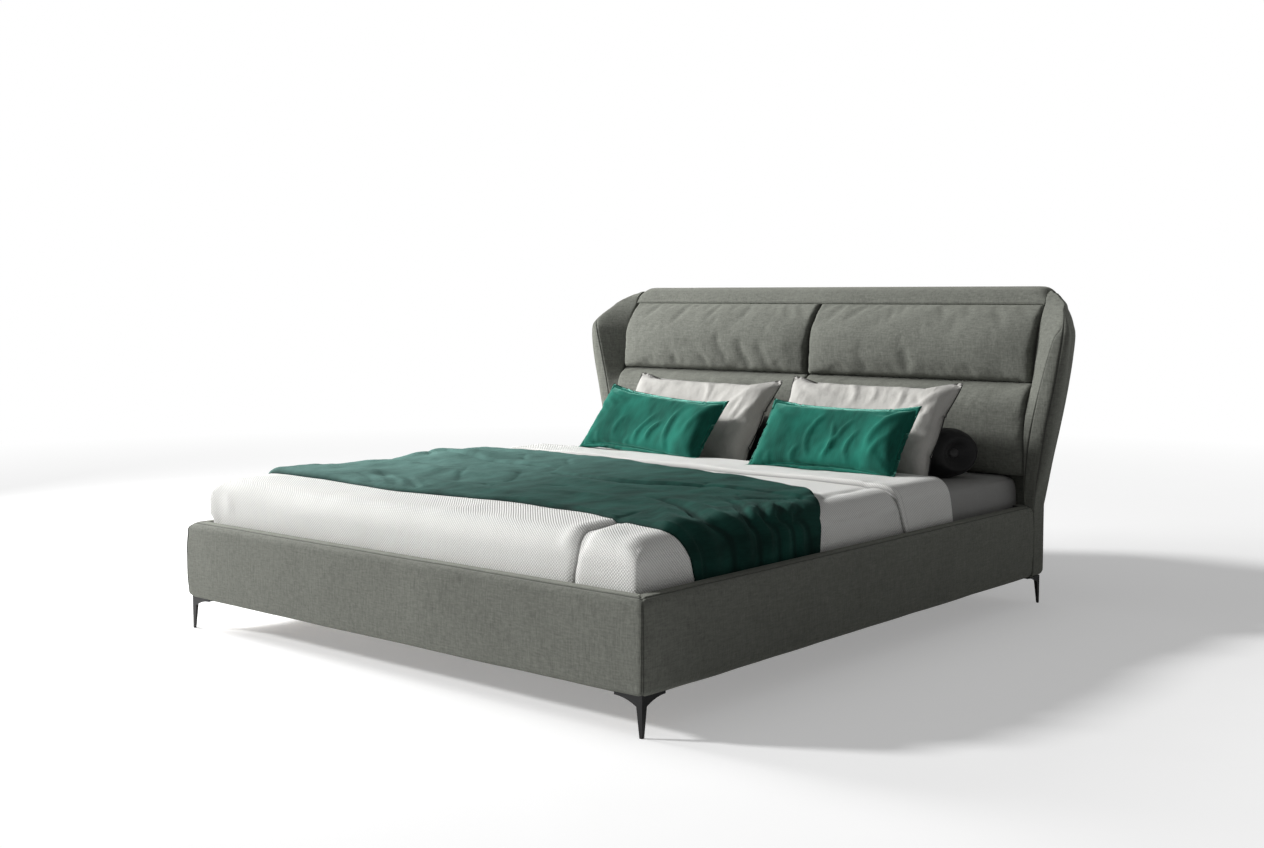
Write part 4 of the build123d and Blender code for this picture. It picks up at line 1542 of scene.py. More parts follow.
@dataclass
class Wings(Assembly):
    """Upholstered wings of the headboard, each with two long seams down its front."""

    flare: float = 0.098
    strip: float = 0.050
    lean: float = 0.142
    groove: float = 0.0030
    groove_width: float = 0.0026
    bulge: float = 0.016
    rounds: int = 3
    soft_edge: float = 0.034
    crown_drop: float = 0.0285
    crown_slope: float = 0.53
    crown_reach: float = 0.02
    crown_share: float = 0.85
    top_round: float = 0.046
    back_round: float = 0.026
    uneven: float = 0.0010
    inner_line: float = 0.005
    soft_low: float = 0.022
    low_corner: float = 0.024
    view: tuple[float, float] = (0.94, 0.34)
    inner_front: int = 12
    seams: tuple[int, int] = (30, 48)

    def section(self, row: Array, height: float) -> Array:
        """Level section of the right wing.

        Args:
            row: The wing's shares at this height.
            height: The height.

        Returns:
            Closed loop of points. Its points inner_front and seams mark the front's parts.
        """
        p = self.places
        _, flare, strip, setback, pad_setback, belly, corner = row
        edge_x = p.half + self.flare * flare
        seam_x = max(edge_x - self.strip * strip, p.pad_side + 0.002)
        front = p.front + self.lean * setback
        pad_line = max(p.front + self.lean * pad_setback, front)
        blend = float(eased(height, p.rail_top - 0.006, p.rail_top + 0.012))
        front = p.rail_end + (front - p.rail_end) * blend
        pad_line = p.rail_end + (pad_line - p.rail_end) * blend
        over = max(0.0, height - p.headboard_top + self.top_round) / self.top_round
        inward = 1 - math.sqrt(1 - min(1.0, over) ** 2)
        rear = float(p.back(height)) - self.back_round * inward
        size = self.flare * corner
        corner_x = max(edge_x - size, p.pad_side + 0.001)
        corner_y = rear - min(size, (rear - front) * 0.75)
        belly_x = max(edge_x + self.flare * belly, corner_x + 0.001)
        inner_back, inner_front = np.array([[p.pad_side, rear], [p.pad_side, pad_line]])
        seam, edge = np.array([[seam_x, front + 0.002], [edge_x, front]])
        run = np.linspace(0, 1, 23)[1:]
        bow = np.sin(math.pi * run ** 0.6) * self.bulge * float(
            eased(height, p.rail_top, p.rail_top + 0.20)
            * (1 - eased(height, p.headboard_top - 0.16, p.headboard_top - 0.07)))
        side_x = edge_x + (belly_x - edge_x) * run + bow
        side = np.stack([side_x, front + (corner_y - front) * run], 1)
        turn = np.linspace(0, math.pi / 2, 15)[1:]
        rounded = np.stack([corner_x + (belly_x - corner_x) * np.cos(turn),
                            corner_y + (rear - corner_y) * np.sin(turn)], 1)

        def toward(one: Array, two: Array, shares: Array) -> Array:
            """Points at shares of the way from one to two."""
            return one + (two - one) * shares[:, None]

        even = np.linspace(0, 1, self.inner_front + 1)[:-1]
        strip = np.linspace(0, math.pi, self.seams[1] - self.seams[0] + 1)
        close = (1 - np.cos(strip[:-1])) / 2
        return np.vstack([toward(inner_back, inner_front, even),
                          toward(inner_front, seam, close), toward(seam, edge, close), edge,
                          side, rounded,
                          toward(rounded[-1], inner_back, np.linspace(0, 1, 8)[1:-1])])

    def rows(self) -> tuple[Array, Array]:
        """Smoothly filled-in table of the sections.

        Returns:
            Heights of the sections, and one row of shares for each.
        """
        p = self.places
        above = p.headboard_top - p.rail_top
        table = np.array(WING_ROWS)
        heights = p.rail_top + above * table[:, 0]
        low = p.rail_low + np.array([0.0, 0.0008, 0.0025, 0.005, 0.0085, 0.013, 0.018])
        fine = np.concatenate([low, np.linspace(p.rail_low + 0.024, p.rail_top - 0.006, 9),
                               np.linspace(p.rail_top, p.headboard_top - 0.05, 110),
                               np.linspace(p.headboard_top - 0.045, heights[-1], 16)])
        dense = spline(np.column_stack([heights, table[:, 1:]]), 600)
        order = np.argsort(dense[:, 0])
        filled = np.stack([np.interp(fine, dense[order, 0], dense[order, k])
                           for k in range(table.shape[1])], 1)
        return fine, filled

    def softened(self, loops: Array, heights: Array) -> Array:
        """Sections with their front outer edge rounded towards the top.

        Args:
            loops: Array of sections, of points a section, of two numbers.
            heights: Heights of the sections.

        Returns:
            The rounded sections, as wide as before when seen from the front right.
        """
        apex = self.places.headboard_top - 0.150
        rail_top = self.places.rail_top
        reach = self.soft_low * eased(heights, rail_top + 0.02, rail_top + 0.15)
        reach += (self.soft_edge - self.soft_low) * eased(heights, apex - 0.10, apex + 0.06)
        inner, view, edge = self.places.pad_side, np.array(self.view), self.seams[1]
        out = loops.copy()
        for row, size in enumerate(reach):
            if size < 0.001:
                continue
            loop = loops[row]
            size = min(size, 0.6 * (loop[edge, 0] - inner))
            run = np.r_[0, np.cumsum(np.linalg.norm(np.diff(loop, axis=0), axis=1))]
            start, stop = run[edge] - size, run[edge] + size
            first, last = (np.array([np.interp(at, run, loop[:, k]) for k in range(2)])
                           for at in (start, stop))
            near = np.abs(run - run[edge]) < size
            share = ((run[near] - start) / (2 * size))[:, None]
            out[row, near] = ((1 - share) ** 2 * first + 2 * share * (1 - share) * loop[edge]
                              + share ** 2 * last)
            for _ in range(3):
                far = out[row] @ view
                short = (loop @ view).max() - far.max()
                wide = out[row, far.argmax(), 0] - inner
                out[row, :, 0] = inner + (out[row, :, 0] - inner) * (
                    1 + short / max(view[0] * wide, 0.01))
        return out

    def wing(self, side: Side) -> tuple[Piece, list[Array]]:
        """One wing.

        Args:
            side: Which side it stands on.

        Returns:
            The piece and the lines of its seams.
        """
        p = self.places
        heights, rows = self.rows()
        loops = np.array([self.section(row, height) for height, row in zip(heights, rows)])
        loops = self.softened(loops, heights)
        for _ in range(self.rounds):
            near = (np.roll(loops, 1, 1) + np.roll(loops, -1, 1)) / 2
            loops = loops + 0.6 * (near - loops)
        step = np.roll(loops, -1, 1) - np.roll(loops, 1, 1)
        normal = np.stack([step[..., 1], -step[..., 0]], -1)
        normal /= np.maximum(np.linalg.norm(normal, axis=-1, keepdims=True), 1e-9)
        centre = loops.mean(1, keepdims=True)
        if ((loops - centre) * normal).sum() < 0:
            normal = -normal
        above = eased(heights, p.rail_top + 0.02, p.rail_top + 0.10)
        above = above * (1 - eased(heights, p.headboard_top - 0.16, p.headboard_top - 0.12))
        # dark sets the grooves of both seams and also paints shade in them; deep paints shade
        # in the gap where the wing meets the pads.
        dark = np.zeros(loops.shape[:2])
        for index, fade in zip(self.seams, (above, np.ones_like(above))):
            gap = np.linalg.norm(loops - loops[:, index:index + 1], axis=-1)
            dark = np.maximum(dark, np.exp(-(gap / self.groove_width) ** 2) * fade[:, None])
        front = np.linalg.norm(loops - loops[:, self.inner_front:self.inner_front + 1], axis=-1)
        deep = np.exp(-(front / self.inner_line) ** 2) * above[:, None]
        rings = np.concatenate([loops - normal * dark[..., None] * self.groove,
                                np.broadcast_to(heights[:, None, None],
                                                (*loops.shape[:2], 1))], -1)
        flat = rings.reshape(-1, 3)
        soft = (Ripple(0.30, 31 + side.value).at(flat) * self.uneven).reshape(loops.shape[:2])
        soft *= eased(loops[..., 0], p.pad_side + 0.01, p.pad_side + 0.04)
        inset = recess(heights - p.rail_low, self.low_corner)[:, None]
        inset = inset * eased(loops[..., 0], p.pad_side, p.pad_side + 0.02)
        rings[..., :2] += normal * (soft - inset)[..., None]
        crown = p.headboard_top - self.crown_drop - self.crown_slope * np.clip(
            rings[..., 0] - p.pad_side, 0, self.crown_reach)
        front_y, back_y = rings[..., 1].min(1)[:, None], rings[..., 1].max(1)[:, None]
        rear = eased((rings[..., 1] - front_y) / (back_y - front_y), 0.15, 0.60)
        rings[..., 2] -= self.crown_share * np.maximum(rings[..., 2] - crown, 0) * rear
        if side is Side.LEFT:
            rings = rings * np.array([-1.0, 1.0, 1.0])
        piece = mesh_piece(f"headboard_wing_{side.word}", *loft(rings))
        mark_loft(piece, "seam", np.maximum(dark * 0.8, deep))
        inside = (heights > p.rail_top + 0.10) & (heights < p.headboard_top - 0.17)
        return piece, [rings[inside, index] for index in self.seams]

    def build(self) -> None:
        """Makes both wings and their stitching."""
        runs: list[Array] = []
        for side in Side:
            piece, lines = self.wing(side)
            dressed(piece, self.finishes.upholstery, "upholstery", f"wing_{side.word}")
            runs += lines
        stitching("wing_stitching", runs, self.finishes)


# Shares up a wing: height, flare, strip, setback, the pads' setback, belly and corner
WING_ROWS: tuple[tuple[float, ...], ...] = (
    (0.000, 0.000, 0.70, 0.150, 0.15, 0.00, 0.20),
    (0.078, 0.085, 0.86, 0.080, 0.08, 0.01, 0.27),
    (0.224, 0.265, 1.00, 0.015, 0.02, 0.02, 0.48),
    (0.359, 0.440, 1.00, -0.030, 0.00, 0.03, 0.63),
    (0.470, 0.610, 1.00, -0.035, 0.14, 0.04, 0.84),
    (0.568, 0.765, 0.96, -0.040, 0.40, 0.05, 1.11),
    (0.674, 0.900, 0.80, -0.045, 0.52, 0.05, 1.40),
    (0.771, 1.000, 0.54, -0.020, 0.64, 0.02, 1.62),
    (0.817, 0.980, 0.12, 0.060, 0.72, -0.04, 1.70),
    (0.866, 0.890, 0.10, 0.330, 0.84, -0.19, 1.70),
    (0.918, 0.610, 0.10, 0.720, 1.02, -0.32, 1.70),
    (0.945, 0.300, 0.10, 0.915, 1.06, -0.33, 1.70),
    (0.966, 0.000, 0.08, 1.140, 1.17, -0.30, 1.70),
    (0.979, -0.270, 0.06, 1.280, 1.30, -0.30, 1.70),
)


@dataclass
class Back(Assembly):
    """Cloth stapled over the headboard's back."""

    cloth: float = 0.0018
    slack: float = 0.0006
    staple_pitch: float = 0.028
    staple_length: float = 0.010
    staple_radius: float = 0.0012
    hem: float = 0.012

    def build(self) -> None:
        """Makes the cloth and its staples."""
        p = self.places
        low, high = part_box("headboard_back_cover")
        xs, zs = np.linspace(low.x, high.x, 120), np.linspace(low.z, high.z, 80)
        grid_x, grid_z = np.meshgrid(xs, zs, indexing="ij")
        flat = np.stack([grid_x.ravel(), grid_z.ravel()], 1)
        gap = np.minimum(np.minimum(grid_x - low.x, high.x - grid_x),
                         np.minimum(grid_z - low.z, high.z - grid_z))
        slack = Ripple(0.5, 41).at(flat).reshape(grid_x.shape) * self.slack * eased(gap, 0, 0.1)
        outer_y = p.back(grid_z) + slack - 0.0002
        outer = np.stack([grid_x, outer_y, grid_z], -1)
        inner = outer - np.array([0.0, self.cloth, 0.0])
        rings = np.concatenate([outer, inner[:, ::-1]], axis=1)
        piece = mesh_piece("headboard_back_cloth", *loft(rings))
        dressed(piece, self.finishes.back_cloth, "back_cloth", "headboard_back_cover")
        up = np.linspace(low.z + 0.02, high.z - 0.02, 60)
        over = np.linspace(low.x + 0.02, high.x - 0.02, 80)
        side = [np.stack([np.full(60, x), p.back(up) + 0.0007, up], 1)
                for x in (low.x + self.hem, high.x - self.hem)]
        wide = [np.stack([over, np.full(80, p.back(z) + 0.0007), np.full(80, z)], 1)
                for z in (low.z + self.hem, high.z - self.hem)]
        staples = repeated("back_staples", side + wide, Motif.STAPLE, self.staple_pitch,
                           self.staple_length, self.staple_radius, self.finishes.zinc)
        dressed(staples, self.finishes.zinc, "bolt_steel")


# Slatted base


@dataclass
class SlattedBase:
    """Slats with eased edges and the two tapes under them."""

    finishes: Finishes
    count: int = 14
    width: float = 0.070
    easing: float = 0.004
    sag: float = 0.0012
    tape_width: float = 0.030
    tape_thick: float = 0.0009

    def build(self) -> None:
        """Makes the slats from one section, and the tapes."""
        low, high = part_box("slats")
        pitch = (high.y - low.y - self.width) / (self.count - 1)
        pattern = Pattern("slat pattern", {
            "Count": self.count, "Pitch": pitch, "Length": high.x - low.x,
            "Width": self.width, "Thickness": high.z - low.z, "Easing": self.easing})
        shape = pattern.node("GeometryNodeCurvePrimitiveQuadrilateral", {
            "Width": pattern.size("Thickness"), "Height": pattern.size("Width")})
        eased_edge = pattern.node("GeometryNodeFilletCurve", {
            "Curve": shape.outputs[0], "Count": 3, "Radius": pattern.size("Easing")},
            mode="POLY")
        end = pattern.node("ShaderNodeCombineXYZ", {0: pattern.size("Length")})
        line = pattern.node("GeometryNodeCurvePrimitiveLine", {"End": end.outputs[0]})
        one = pattern.node("GeometryNodeCurveToMesh", {
            "Curve": line.outputs[0], "Profile Curve": eased_edge.outputs[0],
            "Fill Caps": True})
        offset = pattern.node("ShaderNodeCombineXYZ", {1: pattern.size("Pitch")})
        row = pattern.node("GeometryNodeMeshLine", {
            "Count": pattern.size("Count"), "Offset": offset.outputs[0],
            "Start Location": (low.x, low.y + self.width / 2, (low.z + high.z) / 2)})
        placed = pattern.node("GeometryNodeInstanceOnPoints", {
            "Points": row.outputs[0], "Instance": one.outputs[0]})
        piece = pattern.run(wire("slat_row", [np.zeros((2, 3))]), placed.outputs[0],
                            self.finishes.slat)
        dressed(piece, self.finishes.slat, "timber", "slats")
        self.tapes()

    def tapes(self) -> None:
        """Makes the two tapes, which sag a little between slats."""
        low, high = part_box("slat_tapes")
        ys = np.linspace(low.y, high.y, 400)
        pitch = (high.y - low.y - self.width) / (self.count - 1)
        wave = np.cos(2 * math.pi * (ys - low.y - self.width / 2) / pitch)
        upper = high.z - 0.0001 - self.sag * (0.5 - 0.5 * wave)
        for side in Side:
            outer, inner = side.value * high.x, side.value * (high.x - self.tape_width)
            rings = [[(outer, y, z), (inner, y, z), (inner, y, z - self.tape_thick),
                      (outer, y, z - self.tape_thick)] for y, z in zip(ys, upper)]
            piece = mesh_piece(f"slat_tape_{side.word}", *loft(np.array(rings)))
            dressed(piece, self.finishes.webbing, "tape", "slat_tapes")


# Mattress, sheet, coverlet and throw


@dataclass
class Bedding(Assembly):
    """Mattress, fitted sheet and coverlet."""

    wave: float = 0.0026
    under_pads: float = 0.062
    shoulder: float = 0.068
    under_round: float = 0.052
    left_full: float = 0.024
    left_lift: float = 0.011
    overhang: float = 0.022
    corner_power: float = 9.0
    loft: float = 0.020
    sheet_slack: float = 0.0012
    sheet_thick: float = 0.0015
    head_run: float = 1.560
    quilt: float = 0.16
    quilt_depth: float = 0.0016
    seam_from: float = 0.640
    seam_to: float = 0.770
    seam_width: float = 0.0030
    seam_depth: float = 0.0035
    dip_width: float = 0.014
    dip_depth: float = 0.0050

    def mattress(self) -> Piece:
        """Makes the mattress, which is quilted below.

        Returns:
            The piece.
        """
        low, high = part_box("mattress")
        high.y += self.under_pads
        fine = (0.0, 0.008, 0.018)
        axes = [steps(low[k], high[k], 0.028 if k < 2 else 0.02, fine) for k in range(3)]
        points, faces = box_lattice(axes, ())
        points = self.rounded(points, low.y, high.x, high.z, self.under_round)
        points = relaxed(points, edge_list(faces), np.full(len(points), 0.5), 6)
        points += (np.array([(low[k] + high[k]) / 2 for k in range(3)])
                   - (points.min(0) + points.max(0)) / 2)
        under = points[:, 2] < low.z + 0.004
        waves = np.sin(points[under, :2] * 2 * math.pi / self.quilt)
        points[under, 2] += self.quilt_depth * (1 - waves[:, 0] * waves[:, 1])
        points[:, 2] = np.clip(points[:, 2], low.z, high.z)
        piece = mesh_piece("mattress_body", points, faces)
        dressed(piece, self.finishes.ticking, "mattress_cloth", "mattress")
        return piece

    def sheet(self) -> Piece:
        """Makes the fitted sheet, stretched over the mattress.

        Returns:
            The piece.
        """
        low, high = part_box("fitted_sheet")
        high.y += self.under_pads
        fine = (0.0, 0.006, 0.014, 0.024)
        axes = [steps(low.x, high.x, 0.016, fine), steps(low.y, high.y, 0.016, fine),
                np.concatenate([np.linspace(low.z, high.z - 0.024, 12),
                                high.z - np.array([0.014, 0.006, 0.0])])]
        points, faces = box_lattice(axes, (Face.BOTTOM,))
        rim = points[:, 2] < low.z + 0.001
        points = self.rounded(points, low.y, high.x, high.z, self.under_round)
        points = relaxed(points, edge_list(faces), np.where(rim, 0.0, 0.5), 4)
        most = self.sheet_slack
        slack = Ripple(0.22, 51).at(points) * most + Ripple(0.07, 52).at(points) * 0.0005
        top = points[:, 2] > high.z - 0.01
        points[top, 2] -= most - np.clip(slack[top], -most, most)
        wide = ~top & ~rim
        outward = np.sign(points[:, 0]) * (np.abs(points[:, 0]) > high.x - 0.006)
        points[wide, 0] -= (outward * (0.001 - np.clip(slack, -0.001, 0.001)))[wide]
        piece = mesh_piece("fitted_sheet_cloth", points, faces, closed=False)
        solid = piece.modifiers.new("cloth", "SOLIDIFY")
        solid.thickness, solid.offset = self.sheet_thick, -1.0
        baked(piece)
        dressed(piece, self.finishes.sheet, "sheet_cotton", "fitted_sheet")
        return piece

    def coverlet(self) -> Piece:
        """Makes the lightly padded cover over the foot and the sides.

        Returns:
            The piece.
        """
        low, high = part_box("coverlet")
        top = high.z - COVER_SINK
        head = self.places.foot + self.head_run
        fine = (0.0, 0.006, 0.014, 0.024, 0.036, 0.050, 0.066)
        xs = steps(low.x, high.x, 0.0125, fine)
        narrow = np.arange(self.seam_from, self.seam_to, 0.0026)
        xs = np.sort(np.r_[xs[(xs < self.seam_from - 0.002) | (xs > self.seam_to)], narrow])
        ys = np.concatenate([low.y + np.array(fine[:-1]),
                             np.linspace(low.y + fine[-1], head, 124)])
        zs = np.concatenate([np.linspace(low.z, top - fine[-1], 13),
                             top - np.array(fine[-2::-1])])
        points, faces = box_lattice([xs, ys, zs], (Face.BOTTOM, Face.HEAD))
        rim = (points[:, 2] < low.z + 0.001) | (points[:, 1] > head - 0.001)
        fuller = self.left_full * eased(-points[:, 0], 0.5, 0.9)
        shaped = self.rounded(points, low.y, high.x, top, self.shoulder - fuller)
        piece = mesh_piece("coverlet_cloth", shaped, faces, closed=False)
        normal = np.array([vertex.normal for vertex in piece.data.vertices])
        level = Ripple(0.55, 61).at(shaped) * 0.9 + Ripple(0.19, 62).at(shaped) * 0.4
        foot_face = eased(-normal[:, 1], 0.3, 0.9)
        height = level * self.wave * (1 - 0.4 * foot_face)
        flat = self.spread(shaped, low.y, top)
        corner = np.hypot(high.x - np.abs(shaped[:, 0]), shaped[:, 1] - low.y)
        upright = (1 - eased(corner, 0.02, 0.07)) * eased(top - shaped[:, 2], 0.02, 0.06)
        height = (height + relief(flat, COVER_FOLDS)) * (1 - upright)
        seam = np.zeros(len(shaped))
        for line in COVER_SEAMS:
            seam = np.maximum(seam, Fold(line, 1.0, self.seam_width, 0.02).over(flat))
            height -= Fold(line, self.dip_depth, self.dip_width, 0.05).over(flat)
        height -= self.seam_depth * seam
        moved = shaped + normal * height[:, None]
        inner = self.places.rail_inner - 0.001
        moved[:, 0] = np.clip(moved[:, 0], -inner, inner)
        near_foot = eased(-moved[:, 0], 0.45, 0.85) * (
            1 - eased(moved[:, 1], low.y + 0.15, low.y + 0.75))
        moved[:, 2] += self.left_lift * near_foot * eased(moved[:, 2], top - 0.10, top - 0.02)
        rail_top = self.places.rail_top
        above = eased(moved[:, 2], rail_top + 0.003, rail_top + 0.030)
        above *= 1 - eased(moved[:, 2], top - 0.05, top)
        above *= 1 - eased(moved[:, 1], low.y + 0.05, low.y + 0.40)
        moved[:, 0] -= self.overhang * above * eased(-moved[:, 0], 0.80, 0.91)
        moved[rim] = shaped[rim]
        move_points(piece, moved)
        # Painted shade along the seam grooves.
        mark(piece, "seam", seam * 0.7)
        group = piece.vertex_groups.new(name="loft")
        lofty = np.clip(0.30 + 0.7 * eased(normal[:, 2], 0.3, 0.95), 0, 1)
        lofty = lofty * (1 - 0.8 * (1 - eased(corner, 0.03, 0.11)))
        for index, weight in enumerate(lofty.tolist()):
            group.add([index], weight, "REPLACE")
        solid = piece.modifiers.new("loft", "SOLIDIFY")
        solid.thickness, solid.offset = self.loft, -1.0
        solid.vertex_group = "loft"
        baked(piece)
        piece.vertex_groups.clear()
        dressed(piece, self.finishes.cover, "coverlet_cotton", "coverlet")
        return piece

    def rounded(self, points: Array, foot: float, side: float, top: float,
                reach: Array | float) -> Array:
        """Box points moved onto the bedding's soft shape.

        Args:
            points: Points on the faces of the box.
            foot: Y of its foot face.
            side: X of its side faces.
            top: Height of its top.
            reach: Radius of its top edges.

        Returns:
            The moved points. Upright corners are tight low down and open out higher up.
        """
        core = np.stack([np.clip(points[:, 0], reach - side, side - reach),
                         np.maximum(points[:, 1], foot + reach),
                         np.minimum(points[:, 2], top - reach)], 1)
        out = points - core
        lift = np.clip(out[:, 2] / reach, 0, 1)
        power = 2.2 + self.corner_power * (1 - lift) ** 2
        plan = (np.abs(out[:, :2]) + 1e-9) ** power[:, None]
        size = np.hypot(plan.sum(1) ** (1 / power), out[:, 2])
        return core + out * (reach / size)[:, None]

    @staticmethod
    def spread(points: Array, foot: float, top: float) -> Array:
        """Place of points on the cover laid flat.

        Args:
            points: Points of the cover.
            foot: Y of its foot face.
            top: Height of its top.

        Returns:
            Two numbers a point.
        """
        down = np.maximum(0.0, top - 0.03 - points[:, 2])
        over_foot = (points[:, 1] - foot) < 0.03
        flat = points[:, :2].copy()
        flat[over_foot, 1] -= down[over_foot]
        side = ~over_foot
        flat[side, 0] += np.sign(points[side, 0]) * down[side]
        return flat


# Seams and folds of the coverlet, with points on the cover laid flat
COVER_SEAMS: tuple[tuple[tuple[float, float], ...], ...] = (
    ((0.695, -1.262), (0.696, -1.20), (0.707, -1.135), (0.690, -1.04), (0.662, -0.92),
     (0.653, -0.80)),
    ((0.70, -0.40), (0.800, -0.30), (0.827, -0.227), (0.812, -0.024), (0.80, 0.20)),
)

COVER_FOLDS: tuple[Fold, ...] = (
    Fold(((0.83, -0.36), (0.88, -0.22), (0.90, -0.05)), -0.004, 0.035),
    Fold(((0.76, -0.28), (0.80, -0.15), (0.78, 0.02)), 0.004, 0.030),
    Fold(((-0.86, -1.10), (-0.80, -1.00), (-0.70, -0.95)), 0.003, 0.040),
    Fold(((-0.40, -1.12), (-0.36, -1.02), (-0.42, -0.93)), -0.003, 0.050),
    Fold(((0.10, -1.12), (0.16, -1.00), (0.20, -0.90)), 0.003, 0.045),
    Fold(((0.88, -1.12), (0.82, -1.05), (0.80, -0.96)), -0.003, 0.030),
    Fold(((0.722, -1.15), (0.716, -1.08), (0.690, -0.98), (0.672, -0.86)), -0.006, 0.016, 0.2),
    Fold(((0.668, -1.15), (0.662, -1.08), (0.636, -0.98), (0.624, -0.86)), 0.004, 0.022, 0.2),
    Fold(((-0.90, -1.13), (-0.87, -1.19), (-0.88, -1.25)), -0.004, 0.016),
    Fold(((-0.84, -1.13), (-0.80, -1.18)), 0.004, 0.016),
)


@dataclass
class Wrap:
    """Strip of cloth laid across the bed and down both its sides."""

    ground: BVHTree
    half: float
    low: float
    top: float
    shoulder: float = 0.050
    across: int = 260
    reach: float = 0.06

    def path(self) -> tuple[Array, Array, Array]:
        """Line across the bed from the left hem to the right.

        Returns:
            Points as X and Z, their normals, and the length along it from the middle.
        """
        turn = np.linspace(0, math.pi / 2, 40)
        centre = (self.half - self.shoulder, self.top - self.shoulder)
        arc = np.stack([centre[0] + self.shoulder * np.sin(turn),
                        centre[1] + self.shoulder * np.cos(turn)], 1)
        right = np.vstack([[0.0, self.top], arc, [self.half, self.low]])
        line = np.vstack([right[::-1] * np.array([-1.0, 1.0]), right[1:]])
        length = np.r_[0, np.cumsum(np.linalg.norm(np.diff(line, axis=0), axis=1))]
        run = np.linspace(0, length[-1], self.across)
        points = np.stack([np.interp(run, length, line[:, k]) for k in range(2)], 1)
        step = np.gradient(points, axis=0)
        normal = np.stack([-step[:, 1], step[:, 0]], 1)
        normal /= np.linalg.norm(normal, axis=1, keepdims=True)
        return points, normal, run - length[-1] / 2

    def laid(self, path: Array, normal: Array, y: Array) -> tuple[Array, Array, Array]:
        """The strip on its path.

        Args:
            path: Points of the path, as X and Z.
            normal: Their normals.
            y: Y of the strip's points, one row for each point of the path.

        Returns:
            The strip's points, their normals, and the ground's height along the normals.
        """
        points = np.stack([np.broadcast_to(path[:, :1], y.shape), y,
                           np.broadcast_to(path[:, 1:], y.shape)], -1)
        ways = np.stack([normal[:, 0], np.zeros(len(normal)), normal[:, 1]], 1)
        ways = np.broadcast_to(ways[:, None, :], points.shape)
        flat_ways = ways.reshape(-1, 3)
        start = points.reshape(-1, 3) + flat_ways * self.reach
        height = self.reach - depth_hits(self.ground, start, -flat_ways, 2 * self.reach)
        return points, ways, np.where(np.isfinite(height), height, 0.0).reshape(y.shape)

    @staticmethod
    def shell(outer: Array, inner: Array, count: int) -> tuple[Array, Array]:
        """Rings around a strip.

        Args:
            outer: Its upper points.
            inner: Its lower points.
            count: How many columns of the lower ones are kept.

        Returns:
            The rings, and the numbers of the columns that are kept.
        """
        columns = np.linspace(0, outer.shape[1] - 1, count).round().astype(int)[::-1]
        return np.concatenate([outer, inner[:, columns]], axis=1), columns


